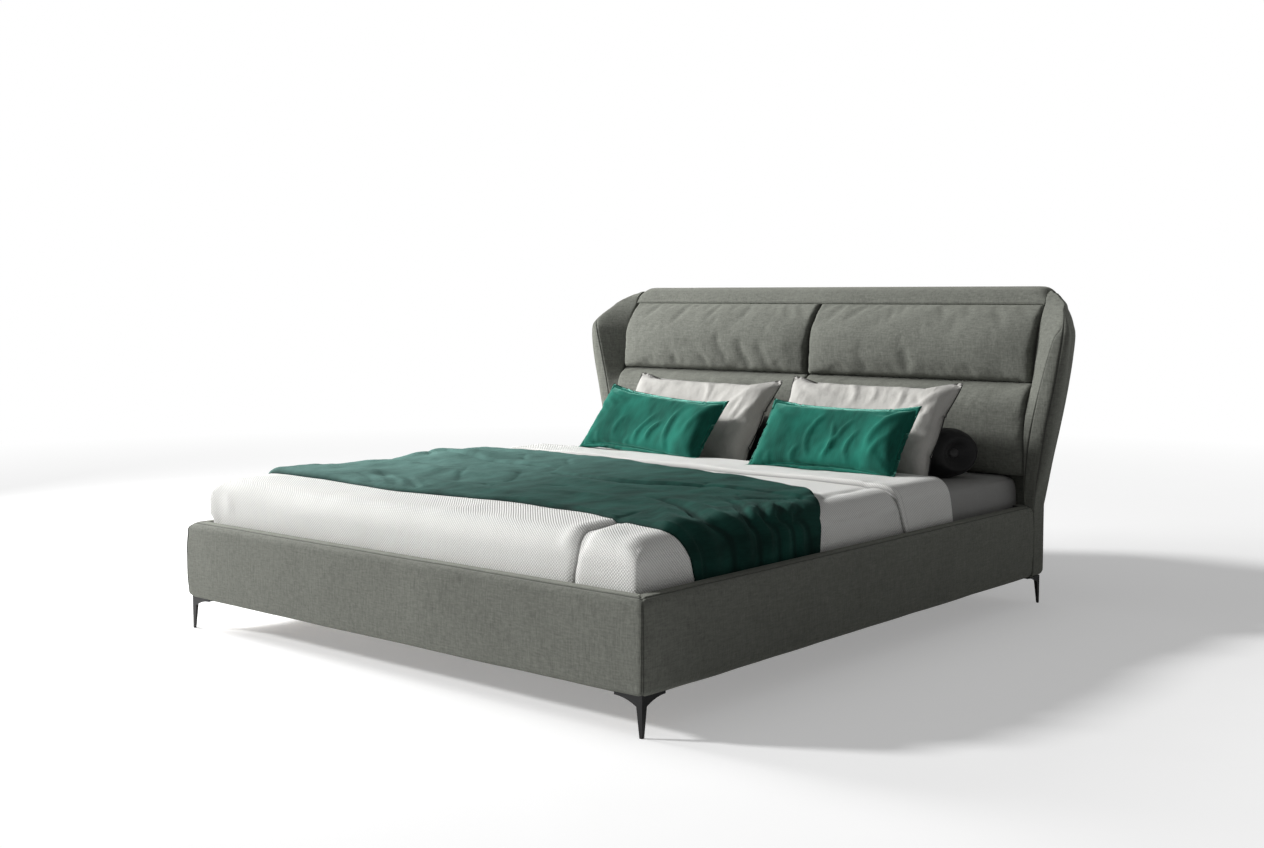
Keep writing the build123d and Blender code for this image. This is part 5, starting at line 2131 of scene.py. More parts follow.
@dataclass
class Throw(Assembly):
    """Velvet throw, lightly padded, across the foot half of the bed."""

    ground: BVHTree
    loft: float = 0.012
    edge: float = 0.022
    layer: float = 0.006
    lift: float = 0.0008
    least: float = 0.0035
    shade: float = 0.75
    edge_shade_reach: float = 0.004
    valley: float = 1.25
    along: int = 150
    under: int = 14

    def build(self) -> Piece:
        """Makes the throw.

        Returns:
            The piece.
        """
        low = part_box("throw")[0]
        cover_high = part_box("coverlet")[1]
        wrap = Wrap(self.ground, cover_high.x, low.z + 0.004, cover_high.z - COVER_SINK)
        path, normal, run = wrap.path()
        near = np.interp(run, *zip(*THROW_NEAR))
        far = np.interp(run, *zip(*THROW_FAR))
        wobble = Ripple(0.26, 71).at(run[:, None]) * 0.004
        near, far = near + wobble, far + Ripple(0.3, 72).at(run[:, None]) * 0.005
        share = np.concatenate([np.linspace(0, 0.06, 9)[:-1],
                                np.linspace(0.06, 0.94, self.along - 16),
                                np.linspace(0.94, 1, 9)[1:]])
        y = near[:, None] + (far - near)[:, None] * share[None, :]
        points, ways, base = wrap.laid(path, normal, y)
        flat = np.stack([np.broadcast_to(run[:, None], y.shape).ravel(), y.ravel()], 1)
        base += self.lift
        gap = np.minimum(share[None, :], 1 - share[None, :]) * (far - near)[:, None]
        side = eased(np.abs(run)[:, None], cover_high.x - 0.06, cover_high.x + 0.02)
        loft_here = self.loft * (1 - 0.66 * side)
        left = eased(-run[:, None], 0.2, 0.95)
        loft_here = loft_here * (1 + 0.75 * left * (1 - side))
        body = loft_here * rounding(gap / self.edge)
        wrinkle = (Ripple(0.30, 73).at(flat) * 0.0032 + Ripple(0.10, 74).at(flat) * 0.0013
                   + Ripple(0.035, 75).at(flat) * 0.0005).reshape(y.shape)
        shape = self.valley * relief(flat, THROW_FOLDS).reshape(y.shape)
        layer = np.interp(run, *zip(*THROW_LAYER))[:, None]
        shape += self.layer * eased(y - layer, -0.002, 0.012) * (1 - 0.5 * side)
        pinches = relief(flat, THROW_PINCHES).reshape(y.shape)
        inside = eased(gap, 0.0, 0.03)
        rise = body + (wrinkle * (1 - 0.45 * side) + shape) * inside + pinches * eased(
            gap, 0.0, 0.012)
        rise = np.maximum(rise, self.least * eased(gap, -0.001, 0.004))
        rail_top = self.places.rail_top
        limit = np.maximum(0.0, self.places.rail_inner - RAIL_GAP - np.abs(points[..., 0]))
        limit = limit + 0.04 * eased(points[..., 2], rail_top + 0.004, rail_top + 0.060)
        total = base + rise
        total = np.where(side > 0.5, np.minimum(total, limit), total)
        rings, columns = wrap.shell(points + ways * total[..., None],
                                    points + ways * base[..., None], self.under)
        piece = mesh_piece("throw_cloth", *loft(rings))
        # Painted shade in the valleys of folds and pinches, along the rolled edge, and over the
        # whole underside.
        deep = np.clip(-(shape + 0.8 * pinches) / self.loft, 0, 1) * self.shade
        painted_edge_shade = self.shade * np.exp(-gap / self.edge_shade_reach)
        dark = np.concatenate([np.maximum(deep, painted_edge_shade), np.ones((len(run), self.under))], 1)
        mark_loft(piece, "seam", dark, 1.0)
        # Painted sheen: bright over the left part of the top, less down the left side, none
        # over the right part.
        painted_sheen = eased(-run, -0.45, 0.95) * (1 - 0.8 * eased(-run, 0.90, 1.02))
        painted_sheen = np.broadcast_to(painted_sheen[:, None], (len(run), rings.shape[1]))
        mark_loft(piece, "painted_sheen", painted_sheen)
        cloth = np.concatenate([flat.reshape(*y.shape, 2),
                                flat.reshape(*y.shape, 2)[:, columns]], axis=1)
        mark_cloth(piece, np.vstack([cloth.reshape(-1, 2), [[0, 0], [0, 0]]]))
        dressed(piece, self.finishes.throw, "throw_velvet", "throw")
        return piece


# Y of the throw's near hem, of its upper layer's edge and of its far hem, each after a
# distance along its path from the middle of the bed
THROW_NEAR = ((-1.20, -0.900), (-0.94, -0.915), (-0.80, -0.905), (-0.52, -0.880),
              (-0.26, -0.885), (0.0, -0.850), (0.24, -0.840), (0.42, -0.843),
              (0.52, -0.865), (0.62, -0.896), (0.72, -0.919), (0.86, -0.957),
              (0.93, -0.925), (0.972, -0.899), (1.021, -0.887), (1.20, -0.870))
THROW_LAYER = ((-1.20, -0.26), (-0.95, -0.24), (-0.805, -0.184), (-0.547, -0.187),
               (-0.234, -0.179), (-0.18, -0.272), (0.16, -0.34), (0.456, -0.254),
               (0.62, -0.25), (0.80, -0.26), (1.20, -0.30))
THROW_FAR = ((-1.20, 0.050), (-0.94, 0.080), (-0.70, 0.130), (-0.40, 0.165), (0.0, 0.120),
             (0.30, 0.055), (0.55, -0.020), (0.75, -0.110), (0.86, -0.225), (0.93, -0.295),
             (1.20, -0.310))

# Sharp and soft folds of the throw, with points as distance along its path and Y
THROW_PINCHES: tuple[Fold, ...] = tuple(
    Fold(path, height, width, 0.18, True)
    for path, height, width in (
        (((-0.47, -0.672), (-0.32, -0.775), (-0.20, -0.86)), -0.007, 0.009),
        (((-0.44, -0.660), (-0.29, -0.765), (-0.17, -0.85)), 0.005, 0.011),
        (((-0.39, -0.696), (-0.20, -0.82)), -0.005, 0.009),
        (((-0.526, -0.337), (-0.357, -0.528), (-0.237, -0.66)), -0.006, 0.010),
        (((-0.305, -0.296), (-0.15, -0.486), (-0.11, -0.58)), -0.006, 0.010),
        (((-0.134, -0.643), (-0.075, -0.674)), -0.005, 0.008),
        (((-0.10, -0.62), (-0.05, -0.70)), -0.004, 0.008),
        (((-0.86, -0.20), (-0.80, -0.28)), -0.006, 0.009),
        (((-0.77, -0.02), (-0.66, -0.13)), -0.006, 0.009),
        (((-0.58, 0.00), (-0.48, -0.11)), -0.005, 0.009),
        (((-0.93, -0.60), (-0.85, -0.672)), -0.005, 0.010),
        (((-0.372, 0.003), (-0.233, -0.136)), -0.006, 0.009),
        (((-0.52, -0.069), (-0.456, -0.122)), -0.004, 0.008),
        (((0.474, -0.308), (0.427, -0.204)), -0.006, 0.008),
        (((0.638, -0.335), (0.728, -0.438)), -0.006, 0.008),
        (((0.728, -0.438), (0.691, -0.377)), -0.004, 0.008),
        (((-0.66, -0.76), (-0.50, -0.80), (-0.40, -0.88)), -0.004, 0.007),
        (((-0.63, -0.73), (-0.45, -0.79), (-0.34, -0.87)), 0.004, 0.007),
        (((-0.58, -0.70), (-0.40, -0.78), (-0.30, -0.87)), -0.004, 0.007),
        (((-0.52, -0.69), (-0.36, -0.78), (-0.25, -0.87)), 0.004, 0.007),
        (((0.12, -0.50), (0.04, -0.60)), -0.005, 0.008),
    ))

THROW_FOLDS: tuple[Fold, ...] = (
    Fold(((-0.95, -0.245), (-0.805, -0.190), (-0.547, -0.193), (-0.26, -0.186)), -0.007,
         0.011, 0.10),
    Fold(((-0.20, -0.28), (0.0, -0.315), (0.16, -0.346), (0.456, -0.262), (0.62, -0.26)),
         -0.007, 0.011, 0.10),
    Fold(((-1.10, -0.32), (-0.90, -0.24), (-0.70, -0.14), (-0.45, -0.08)), 0.014, 0.085),
    Fold(((-0.95, -0.55), (-0.70, -0.48), (-0.45, -0.52), (-0.20, -0.48)), 0.009, 0.045),
    Fold(((-0.90, -0.36), (-0.60, -0.30), (-0.30, -0.33)), 0.006, 0.040),
    Fold(((-0.60, -0.80), (-0.30, -0.74), (0.0, -0.76), (0.25, -0.74)), 0.007, 0.040),
    Fold(((-0.85, -0.78), (-0.65, -0.70), (-0.50, -0.73)), 0.006, 0.035),
    Fold(((-0.15, -0.44), (0.15, -0.42), (0.40, -0.44)), 0.005, 0.040),
    Fold(((0.05, -0.66), (0.30, -0.62), (0.50, -0.66)), 0.005, 0.035),
    Fold(((0.40, -0.55), (0.60, -0.60), (0.75, -0.70), (0.86, -0.786), (0.938, -0.737),
          (1.026, -0.718), (1.26, -0.70)), -0.012, 0.014, 0.26),
    Fold(((0.56, -0.655), (0.70, -0.76), (0.84, -0.875), (0.95, -0.815), (1.26, -0.78)),
         0.008, 0.030, 0.26),
    Fold(((0.50, -0.53), (0.70, -0.60), (0.86, -0.705), (0.94, -0.672), (1.26, -0.65)),
         0.008, 0.026, 0.26),
    Fold(((0.62, -0.42), (0.74, -0.48), (0.82, -0.565), (0.895, -0.627), (0.94, -0.61),
          (1.036, -0.598), (1.26, -0.585)), -0.011, 0.012, 0.26),
    Fold(((0.70, -0.42), (0.80, -0.50), (0.88, -0.588), (0.94, -0.565), (1.26, -0.545)),
         0.006, 0.018, 0.26),
    Fold(((0.74, -0.40), (0.84, -0.49), (0.90, -0.560), (0.935, -0.518), (1.036, -0.505),
          (1.26, -0.495)), -0.009, 0.011, 0.26),
    Fold(((0.76, -0.38), (0.86, -0.46), (0.905, -0.525), (0.94, -0.482), (1.26, -0.460)),
         0.006, 0.017, 0.26),
    Fold(((0.78, -0.37), (0.86, -0.43), (0.905, -0.490), (0.94, -0.447), (1.036, -0.431),
          (1.26, -0.420)), -0.009, 0.011, 0.26),
    Fold(((0.82, -0.34), (0.88, -0.40), (0.91, -0.45), (0.94, -0.41), (1.26, -0.382)),
         0.006, 0.017, 0.26),
    Fold(((0.84, -0.31), (0.89, -0.37), (0.915, -0.42), (0.94, -0.374), (1.036, -0.347),
          (1.26, -0.337)), -0.008, 0.011, 0.26),
    Fold(((0.80, -0.935), (0.90, -0.915), (0.98, -0.872), (1.26, -0.835)), 0.005, 0.018,
         0.2),
    Fold(((0.90, -0.885), (0.95, -0.862), (1.0, -0.850), (1.26, -0.818)), -0.006, 0.011,
         0.2),
    Fold(((-0.80, -0.85), (-0.90, -0.70), (-0.97, -0.60), (-1.12, -0.56)), 0.006, 0.022),
    Fold(((-0.84, -0.40), (-0.93, -0.35), (-1.0, -0.33), (-1.12, -0.32)), 0.006, 0.020),
    Fold(((-0.84, -0.14), (-0.93, -0.12), (-1.0, -0.10), (-1.12, -0.10)), 0.006, 0.020),
)


@dataclass
class FoldedEnd(Assembly):
    """Head end of the coverlet, folded back over itself."""

    ground: BVHTree
    rise: float = 0.0145
    lift: float = 0.0006
    hem: float = 0.0050
    crease: float = 0.034
    along: int = 44
    under: int = 10

    def build(self) -> Piece:
        """Makes the folded end.

        Returns:
            The piece.
        """
        low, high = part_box("coverlet")
        wrap = Wrap(self.ground, high.x, low.z + 0.003, high.z - COVER_SINK, shoulder=0.048)
        path, normal, run = wrap.path()
        foot = self.places.foot
        near = foot + np.interp(run, (-1.10, -0.92, -0.4, 0.3, 0.86, 0.93, 0.98, 1.12),
                                (1.440, 1.405, 1.385, 1.345, 1.300, 1.304, 1.325, 1.385))
        far = foot + np.interp(run, (-1.10, -0.92, 0.86, 0.93, 1.12),
                               (1.630, 1.612, 1.645, 1.652, 1.690))
        near = near + Ripple(0.5, 81).at(run[:, None]) * 0.004
        share = np.concatenate([np.linspace(0, 0.10, 9)[:-1],
                                np.linspace(0.10, 0.84, self.along - 20),
                                np.linspace(0.84, 1, 14)[1:]])
        y = near[:, None] + (far - near)[:, None] * share[None, :]
        points, ways, base = wrap.laid(path, normal, y)
        base += self.lift
        from_near, from_far = y - near[:, None], far[:, None] - y
        side = eased(np.abs(run)[:, None], high.x - 0.05, high.x + 0.02)
        rise = self.rise * (1 - 0.50 * side)
        lip = rounding(from_near / self.hem)
        plateau = rise + 0.0015 * np.exp(-((from_near - 0.016) / 0.010) ** 2)
        flat = np.stack([np.broadcast_to(run[:, None], y.shape).ravel(), y.ravel()], 1)
        soft = (Ripple(0.33, 82).at(flat) * 0.0022 + Ripple(0.09, 83).at(flat) * 0.0006
                ).reshape(y.shape) * (1 - 0.6 * side)
        over = plateau * lip + soft * lip
        roll = rounding(from_far / self.crease)
        total = np.where(from_far < self.crease,
                         base + (np.maximum(over, 0.0) + np.maximum(-base, 0)) * roll,
                         np.maximum(base, 0.0) + over)
        total = np.maximum(total, base + 0.0004)
        limit = self.places.rail_inner - RAIL_GAP - np.abs(points[..., 0])
        low_down = (points[..., 2] < self.places.rail_top + 0.006) & (side > 0.5)
        total = np.where(low_down, np.minimum(total, limit), total)
        rings, _ = wrap.shell(points + ways * total[..., None],
                              points + ways * np.minimum(base, total)[..., None], self.under)
        piece = mesh_piece("coverlet_fold", *loft(rings))
        # A faint dark line 26 mm in from the hem, and painted shadow along the hem's edge.
        hem = np.exp(-((from_near - 0.026) / 0.0020) ** 2) * 0.35
        hem = np.maximum(hem, np.exp(-(from_near / 0.003) ** 2) * 0.95)
        rim = np.zeros((len(run), self.under))
        mark_loft(piece, "seam", np.concatenate([hem, rim], 1))
        dressed(piece, self.finishes.cover, "coverlet_cotton", "coverlet")
        return piece


# Pillows and bolster


@dataclass
class Pillow:
    """Pillow that leans back on what is behind it."""

    name: str
    node: str
    size: Triple
    middle: Triple
    roll: float
    material: Material
    slot: str
    filling: Filling
    folds: tuple[Fold, ...] = ()
    seed: int = 1
    draw: float = 0.016
    tilt: float = 36.0
    pitch: float = 0.0085
    crumple: float = 0.0016
    gain: float = 1.35
    ears: float = 0.011
    taper: float = 0.62
    taper_run: float = 0.080

    def matrix(self) -> Matrix:
        """Where the pillow stands.

        Returns:
            Matrix from its own space to the bed's.
        """
        return (Matrix.Translation(Vector(self.middle))
                @ Matrix.Rotation(math.radians(-self.tilt), 4, "X")
                @ Matrix.Rotation(math.radians(self.roll), 4, "Y"))

    def outline(self, u: Array, w: Array) -> tuple[Array, Array]:
        """Plan of the case, whose sides draw in between pointed corners.

        Args:
            u: Places across it, from -1 to 1.
            w: Places up it, from -1 to 1.

        Returns:
            X and Z of the points.
        """
        width, tall, _ = self.size
        x = width / 2 * u - self.draw * 0.55 * u * (1 - w ** 4)
        z = tall / 2 * w - self.draw * w * (1 - u ** 4)
        return x, z

    def build(self, behind: BVHTree, ground: BVHTree) -> tuple[Piece, list]:
        """Makes the pillow.

        Args:
            behind: What it leans on.
            ground: What it stands on.

        Returns:
            The piece, and the lines of its two short edges.
        """
        width, tall, thick = self.size
        nu, nw = int(width / self.pitch), int(tall / self.pitch)
        us, ws = np.linspace(-1, 1, nu), np.linspace(-1, 1, nw)
        grid_u, grid_w = np.meshgrid(us, ws, indexing="ij")
        x, z = self.outline(grid_u, grid_w)
        full = ((1 - np.abs(grid_u) ** 2.6) * (1 - np.abs(grid_w) ** 2.6)) ** 0.55
        half = 0.0012 + full * thick * 0.34
        front = np.stack([x, -half, z], -1).reshape(-1, 3)
        back = np.stack([x, half, z], -1).reshape(-1, 3)
        index = np.arange(nu * nw).reshape(nu, nw)
        rim = np.zeros((nu, nw), bool)
        rim[[0, -1], :] = rim[:, [0, -1]] = True
        rear = index.copy()
        rear[~rim] = nu * nw + np.arange((~rim).sum())
        points = np.vstack([front, back[~rim.ravel()]])
        points[:nu * nw][rim.ravel(), 1] = 0.0
        quads = np.stack([
            np.stack([index[:-1, :-1], index[1:, :-1], index[1:, 1:], index[:-1, 1:]], -1),
            np.stack([rear[:-1, :-1], rear[:-1, 1:], rear[1:, 1:], rear[1:, :-1]], -1)], 2)
        faces = [tuple(quad) for quad in quads.reshape(-1, 4).tolist()]
        piece = mesh_piece(self.name, points, faces)
        self.filling.swell(piece)
        points = coordinates(piece.data)
        scale = (thick / 2) / np.percentile(np.abs(points[:, 1]), 99.7)
        points[:, 1] *= scale
        points[:, 0] *= (width / 2) / np.abs(points[:, 0]).max()
        points[:, 2] *= (tall / 2 + self.ears) / np.abs(points[:, 2]).max()
        edge = np.minimum(width / 2 - np.abs(points[:, 0]), tall / 2 - np.abs(points[:, 2]))
        points[:, 1] *= 1 - self.taper * np.exp(-np.maximum(edge, 0) / self.taper_run)
        flat = points[:, [0, 2]]
        fore = points[:, 1] < 0
        fade = eased(np.abs(points[:, 1]), 0.0, 0.012)
        bump = self.gain * relief(flat, self.folds) * fore
        bump += Ripple(0.055, self.seed).at(points) * self.crumple
        bump += Ripple(0.16, self.seed + 1).at(points) * self.crumple
        points[:, 1] += np.where(fore, -1.0, 1.0) * bump * fade
        move = np.array(self.matrix())
        world = points @ move[:3, :3].T + move[:3, 3]
        forward = move[:3, :3] @ np.array([0.0, -1.0, 0.0])
        world = self.pressed(world, behind, forward, 0.0012)
        world = self.pressed(world, ground, np.array([0.0, 0.0, 1.0]), 0.0010)
        move_points(piece, world)
        cloth = flat.copy()
        cloth[~fore, 1] += 2 * tall
        mark_cloth(piece, cloth)
        lines = [world[index[0, 1:-1]], world[index[-1, 1:-1]]]
        dressed(piece, self.material, self.slot, self.node)
        return piece, lines

    @staticmethod
    def pressed(points: Array, tree: BVHTree, way: Array, gap: float) -> Array:
        """Points moved out of a surface that they press on.

        Args:
            points: The points.
            tree: The surface.
            way: Direction that they move in, away from the surface.
            gap: Distance that stays between.

        Returns:
            The moved points.
        """
        start = points + way * PRESS_REACH
        deep = depth_hits(tree, start, -way, PRESS_REACH * 2)
        push = np.where(np.isfinite(deep), PRESS_REACH + gap - deep, 0.0)
        return points + np.clip(push, 0.0, PRESS_MOST)[:, None] * way


@dataclass
class Bolster:
    """Long round neck roll with gathered ends and a button in each."""

    finishes: Finishes
    dimple: float = 0.024
    end_round: float = 0.040
    button: float = 0.018
    slant: float = 0.102
    slant_run: float = 0.30
    pleats: int = 16
    gather: float = 0.006
    uneven: float = 0.0012

    def build(self) -> Piece:
        """Makes the roll and its buttons.

        Returns:
            The roll.
        """
        low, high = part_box("bolster")
        radius = (high.z - low.z) / 2
        axis_y, axis_z, half = (low.y + high.y) / 2, (low.z + high.z) / 2, high.x
        end = [(half - self.dimple, 0.008), (half - self.dimple + 0.001, self.button),
               (half - self.dimple * 0.72, 0.028), (half - self.dimple * 0.36, 0.040),
               (half - 0.004, 0.050), (half - 0.0015, 0.060), (half - 0.008, 0.072),
               (half - 0.022, 0.082), (half - self.end_round, radius)]
        cap = spline(end, 44)
        body = np.stack([np.linspace(half - self.end_round, 0, 70)[1:],
                         np.full(69, radius)], 1)
        right = np.vstack([cap, body])
        profile = np.vstack([right, right[-2::-1] * np.array([-1.0, 1.0])])
        angle = np.linspace(0, 2 * math.pi, 132, endpoint=False)
        x = np.broadcast_to(profile[:, :1], (len(profile), len(angle)))
        gather = np.exp(-((half - np.abs(profile[:, 0])) / 0.05) ** 2)[:, None]
        pleat = np.sin(angle * self.pleats + 0.6 * np.sin(angle * 3))[None, :]
        soft = Ripple(0.11, 91).at(np.stack([
            x.ravel(), np.tile(np.cos(angle) * radius, len(profile)),
            np.tile(np.sin(angle) * radius, len(profile))], 1)).reshape(x.shape)
        reach = profile[:, 1:] * (1 + self.gather * gather * pleat * (profile[:, 1:] > 0.02))
        reach = reach + soft * self.uneven * (profile[:, 1:] > 0.05) - self.uneven
        y = axis_y + reach * np.cos(angle)[None, :]
        z = axis_z + reach * np.sin(angle)[None, :]
        z = np.maximum(z, low.z + 0.0002)
        x = self.skewed(x, y, half, axis_y, radius)
        piece = mesh_piece("bolster_roll", *loft(np.stack([x, y, z], -1)))
        dressed(piece, self.finishes.satin, "bolster_cloth", "bolster")
        for side in Side:
            self.knob(side, Vector((half - self.dimple, axis_y, axis_z)), half, radius)
        return piece

    def skewed(self, x: Array, y: Array, half: float, axis: float, radius: float) -> Array:
        """X of points after the ends slump towards the foot.

        Args:
            x: X of the points.
            y: Y of the points.
            half: Half the roll's length.
            axis: Y of its axis.
            radius: Its radius.

        Returns:
            The new X.
        """
        near_end = eased(np.abs(x), half - self.slant_run, half - 0.02)
        return x - np.sign(x) * near_end * self.slant * (1 - (y - axis) / radius) / 2

    def knob(self, side: Side, seat: Vector, half: float, radius: float) -> None:
        """Domed button at the bottom of a dimple.

        Args:
            side: Which end.
            seat: Where it sits before the end slumps.
            half: Half the roll's length.
            radius: The roll's radius.
        """
        node = f"bolster_button_{side.word}"
        rise = np.array([(0.0, 0.0150), (0.002, 0.0156), (0.0045, 0.0145), (0.0066, 0.0115),
                         (0.0080, 0.0070), (0.0086, 0.0020)])
        angle = np.linspace(0, 2 * math.pi, 28, endpoint=False)
        rings = [np.stack([np.full(28, side.value * (seat.x + out)),
                           seat.y + size * np.cos(angle), seat.z + size * np.sin(angle)], 1)
                 for out, size in spline(rise, 12)]
        rings = np.array(rings)
        rings[..., 0] = self.skewed(rings[..., 0], rings[..., 1], half, seat.y, radius)
        piece = mesh_piece(f"bolster_knob_{side.word}", *loft(rings))
        dressed(piece, self.finishes.button, "button_cloth", node)


# Folds on the pillows' fronts, with points measured from the middle
GREEN_RIGHT_FOLDS: tuple[Fold, ...] = (
    Fold(((-0.02, 0.09), (-0.055, 0.05), (-0.075, 0.0), (-0.065, -0.06), (-0.03, -0.11)),
         0.006, 0.007, 0.25),
    Fold(((0.0, 0.06), (0.02, 0.01), (0.025, -0.05), (0.005, -0.11)), 0.007, 0.007, 0.25),
    Fold(((0.10, 0.07), (0.06, 0.03), (0.035, -0.03), (0.03, -0.07)), 0.006, 0.007, 0.25),
    Fold(((0.13, 0.03), (0.10, -0.02), (0.095, -0.06), (0.12, -0.11)), 0.006, 0.007, 0.25),
    Fold(((-0.09, -0.04), (-0.11, -0.09), (-0.10, -0.125)), 0.005, 0.008),
    Fold(((-0.20, -0.08), (-0.21, -0.12)), 0.004, 0.007),
    Fold(((0.28, 0.12), (0.22, 0.07), (0.18, 0.0), (0.17, -0.08)), 0.006, 0.012),
    Fold(((0.26, 0.02), (0.21, -0.03), (0.19, -0.10)), 0.005, 0.010),
    Fold(((0.24, 0.10), (0.19, 0.09), (0.14, 0.10)), -0.005, 0.010),
    Fold(((0.20, -0.05), (0.25, -0.08), (0.28, -0.12)), -0.005, 0.010),
    Fold(((-0.26, 0.10), (-0.20, 0.06), (-0.12, 0.05)), 0.003, 0.014),
)

GREEN_LEFT_FOLDS: tuple[Fold, ...] = (
    Fold(((-0.27, 0.12), (-0.22, 0.085), (-0.14, 0.065)), 0.005, 0.007),
    Fold(((-0.28, 0.10), (-0.23, 0.06), (-0.17, 0.035)), 0.005, 0.007),
    Fold(((-0.28, 0.075), (-0.24, 0.03), (-0.19, 0.0)), 0.005, 0.008),
    Fold(((-0.24, 0.125), (-0.18, 0.10), (-0.08, 0.09)), 0.004, 0.008),
    Fold(((0.04, 0.05), (0.0, 0.0), (-0.02, -0.06), (-0.01, -0.12)), 0.006, 0.008),
    Fold(((0.08, 0.02), (0.04, -0.04), (0.04, -0.10)), 0.006, 0.008),
    Fold(((0.15, 0.09), (0.12, 0.02), (0.12, -0.05), (0.15, -0.12)), 0.007, 0.011),
    Fold(((-0.10, 0.02), (-0.13, -0.04), (-0.13, -0.10)), 0.004, 0.009),
    Fold(((0.27, 0.10), (0.22, 0.03), (0.20, -0.06)), 0.005, 0.012),
    Fold(((-0.20, -0.07), (-0.21, -0.12)), 0.004, 0.008),
    Fold(((-0.05, -0.09), (-0.06, -0.125)), 0.004, 0.008),
)

WHITE_RIGHT_FOLDS: tuple[Fold, ...] = (
    Fold(((-0.28, 0.16), (-0.20, 0.13), (-0.10, 0.12)), 0.004, 0.010),
    Fold(((-0.22, 0.18), (-0.12, 0.155), (0.0, 0.165)), 0.005, 0.010),
    Fold(((-0.08, 0.18), (-0.03, 0.13), (-0.05, 0.08)), 0.006, 0.012),
    Fold(((0.02, 0.18), (0.05, 0.13), (0.03, 0.08)), 0.005, 0.010),
    Fold(((0.14, 0.17), (0.16, 0.11), (0.13, 0.05)), 0.005, 0.012),
    Fold(((0.32, 0.17), (0.26, 0.10), (0.20, 0.03), (0.18, -0.05)), 0.007, 0.014),
    Fold(((0.30, 0.12), (0.27, 0.03), (0.25, -0.08)), 0.005, 0.012),
    Fold(((0.33, 0.0), (0.28, -0.08), (0.22, -0.15)), 0.004, 0.012),
    Fold(((0.20, 0.15), (0.25, 0.08), (0.30, 0.04)), -0.005, 0.010),
)

WHITE_LEFT_FOLDS: tuple[Fold, ...] = (
    Fold(((-0.26, 0.17), (-0.15, 0.15), (-0.05, 0.165)), 0.004, 0.010),
    Fold(((0.02, 0.18), (0.06, 0.13), (0.05, 0.06)), 0.005, 0.010),
    Fold(((0.30, 0.17), (0.22, 0.10), (0.16, 0.02)), 0.006, 0.014),
    Fold(((0.31, 0.10), (0.26, 0.0), (0.20, -0.10)), 0.006, 0.014),
    Fold(((0.26, 0.14), (0.23, 0.02), (0.24, -0.12)), 0.005, 0.012),
    Fold(((0.16, 0.14), (0.14, 0.05), (0.18, -0.04)), 0.004, 0.012),
)


@dataclass
class Cushions(Assembly):
    """The neck roll and the four pillows in front of it."""

    tilt: float = 36.0
    white_size: Triple = (0.700, 0.410, 0.130)
    green_size: Triple = (0.600, 0.284, 0.120)
    cord: float = 0.0019

    def build(self, ground: BVHTree) -> None:
        """Makes the roll, then the pillows from the back to the front.

        Args:
            ground: What they stand on.
        """
        roll = Bolster(self.finishes).build()
        upright = math.cos(math.radians(self.tilt))
        sheet_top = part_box("fitted_sheet")[1].z + 0.0003
        cover_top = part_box("coverlet")[1].z
        foot = self.places.foot
        soft = Filling(pressure=2.6, slack=0.055, frames=16, cap=0.060, bending=0.4)
        plump = Filling(pressure=2.2, slack=0.060, frames=16, cap=0.060, bending=0.25)
        white_z = sheet_top + (self.white_size[1] / 2 - 0.007) * upright
        green_z = cover_top + (self.green_size[1] / 2 - 0.016) * upright
        whites = (
            ("right", (0.457, foot + 1.792, white_z), 0.0, WHITE_RIGHT_FOLDS, 101),
            ("left", (-0.310, foot + 1.810, white_z - 0.016), 0.8, WHITE_LEFT_FOLDS, 111))
        greens = (
            ("right", (0.490, foot + 1.580, green_z), 0.0, GREEN_RIGHT_FOLDS, 121),
            ("left", (-0.345, foot + 1.625, green_z), 5.0, GREEN_LEFT_FOLDS, 131))
        behind, lines = [roll], []
        for word, middle, turn, folds, seed in whites:
            pillow = Pillow(f"linen_pillow_{word}", f"white_pillow_{word}", self.white_size,
                            middle, turn, self.finishes.linen, "pillow_linen", soft, folds,
                            seed)
            piece, edges = pillow.build(tree_of(roll), ground)
            behind.append(piece)
            lines += edges
        cords = piping("pillow_piping", lines, self.cord, self.finishes.piping)
        dressed(cords, self.finishes.piping, "bolster_cloth")
        for word, middle, turn, folds, seed in greens:
            pillow = Pillow(f"velvet_pillow_{word}", f"green_pillow_{word}", self.green_size,
                            middle, turn, self.finishes.green, "pillow_velvet", plump, folds,
                            seed, crumple=0.0012)
            pillow.build(tree_of(*behind), ground)


# Hard parts that stay as they are


def paint_nodes(nodes: dict[str, Piece], finishes: Finishes) -> None:
    """Gives the CAD nodes that stay their finishes.

    Args:
        nodes: Node name to object.
        finishes: The materials.
    """
    rules = (
        ("corner_leg", finishes.leg), ("leg_glides", finishes.plastic),
        ("levelling_foot", finishes.plastic), ("centre_leg", finishes.steel),
        ("beam_hanger", finishes.steel), ("rail_hook", finishes.steel),
        ("leg_bolts", finishes.zinc), ("frame_bolts", finishes.zinc),
        ("centre_beam", finishes.timber_along), ("slat_ledge", finishes.timber_along),
        ("corner_block", finishes.timber_up), ("headboard_post", finishes.timber_up),
        ("head_cross_rail", finishes.upholstery), ("side_rail_board", finishes.board),
        ("foot_rail_board", finishes.board), ("headboard_panel", finishes.upholstery),
        ("headboard_back_board", finishes.board), ("wing_board", finishes.board),
        ("headboard_", finishes.timber_across))
    for name, node in nodes.items():
        for start, material in rules:
            if name.startswith(start):
                node.data.materials.clear()
                node.data.materials.append(material)
                break


# Studio


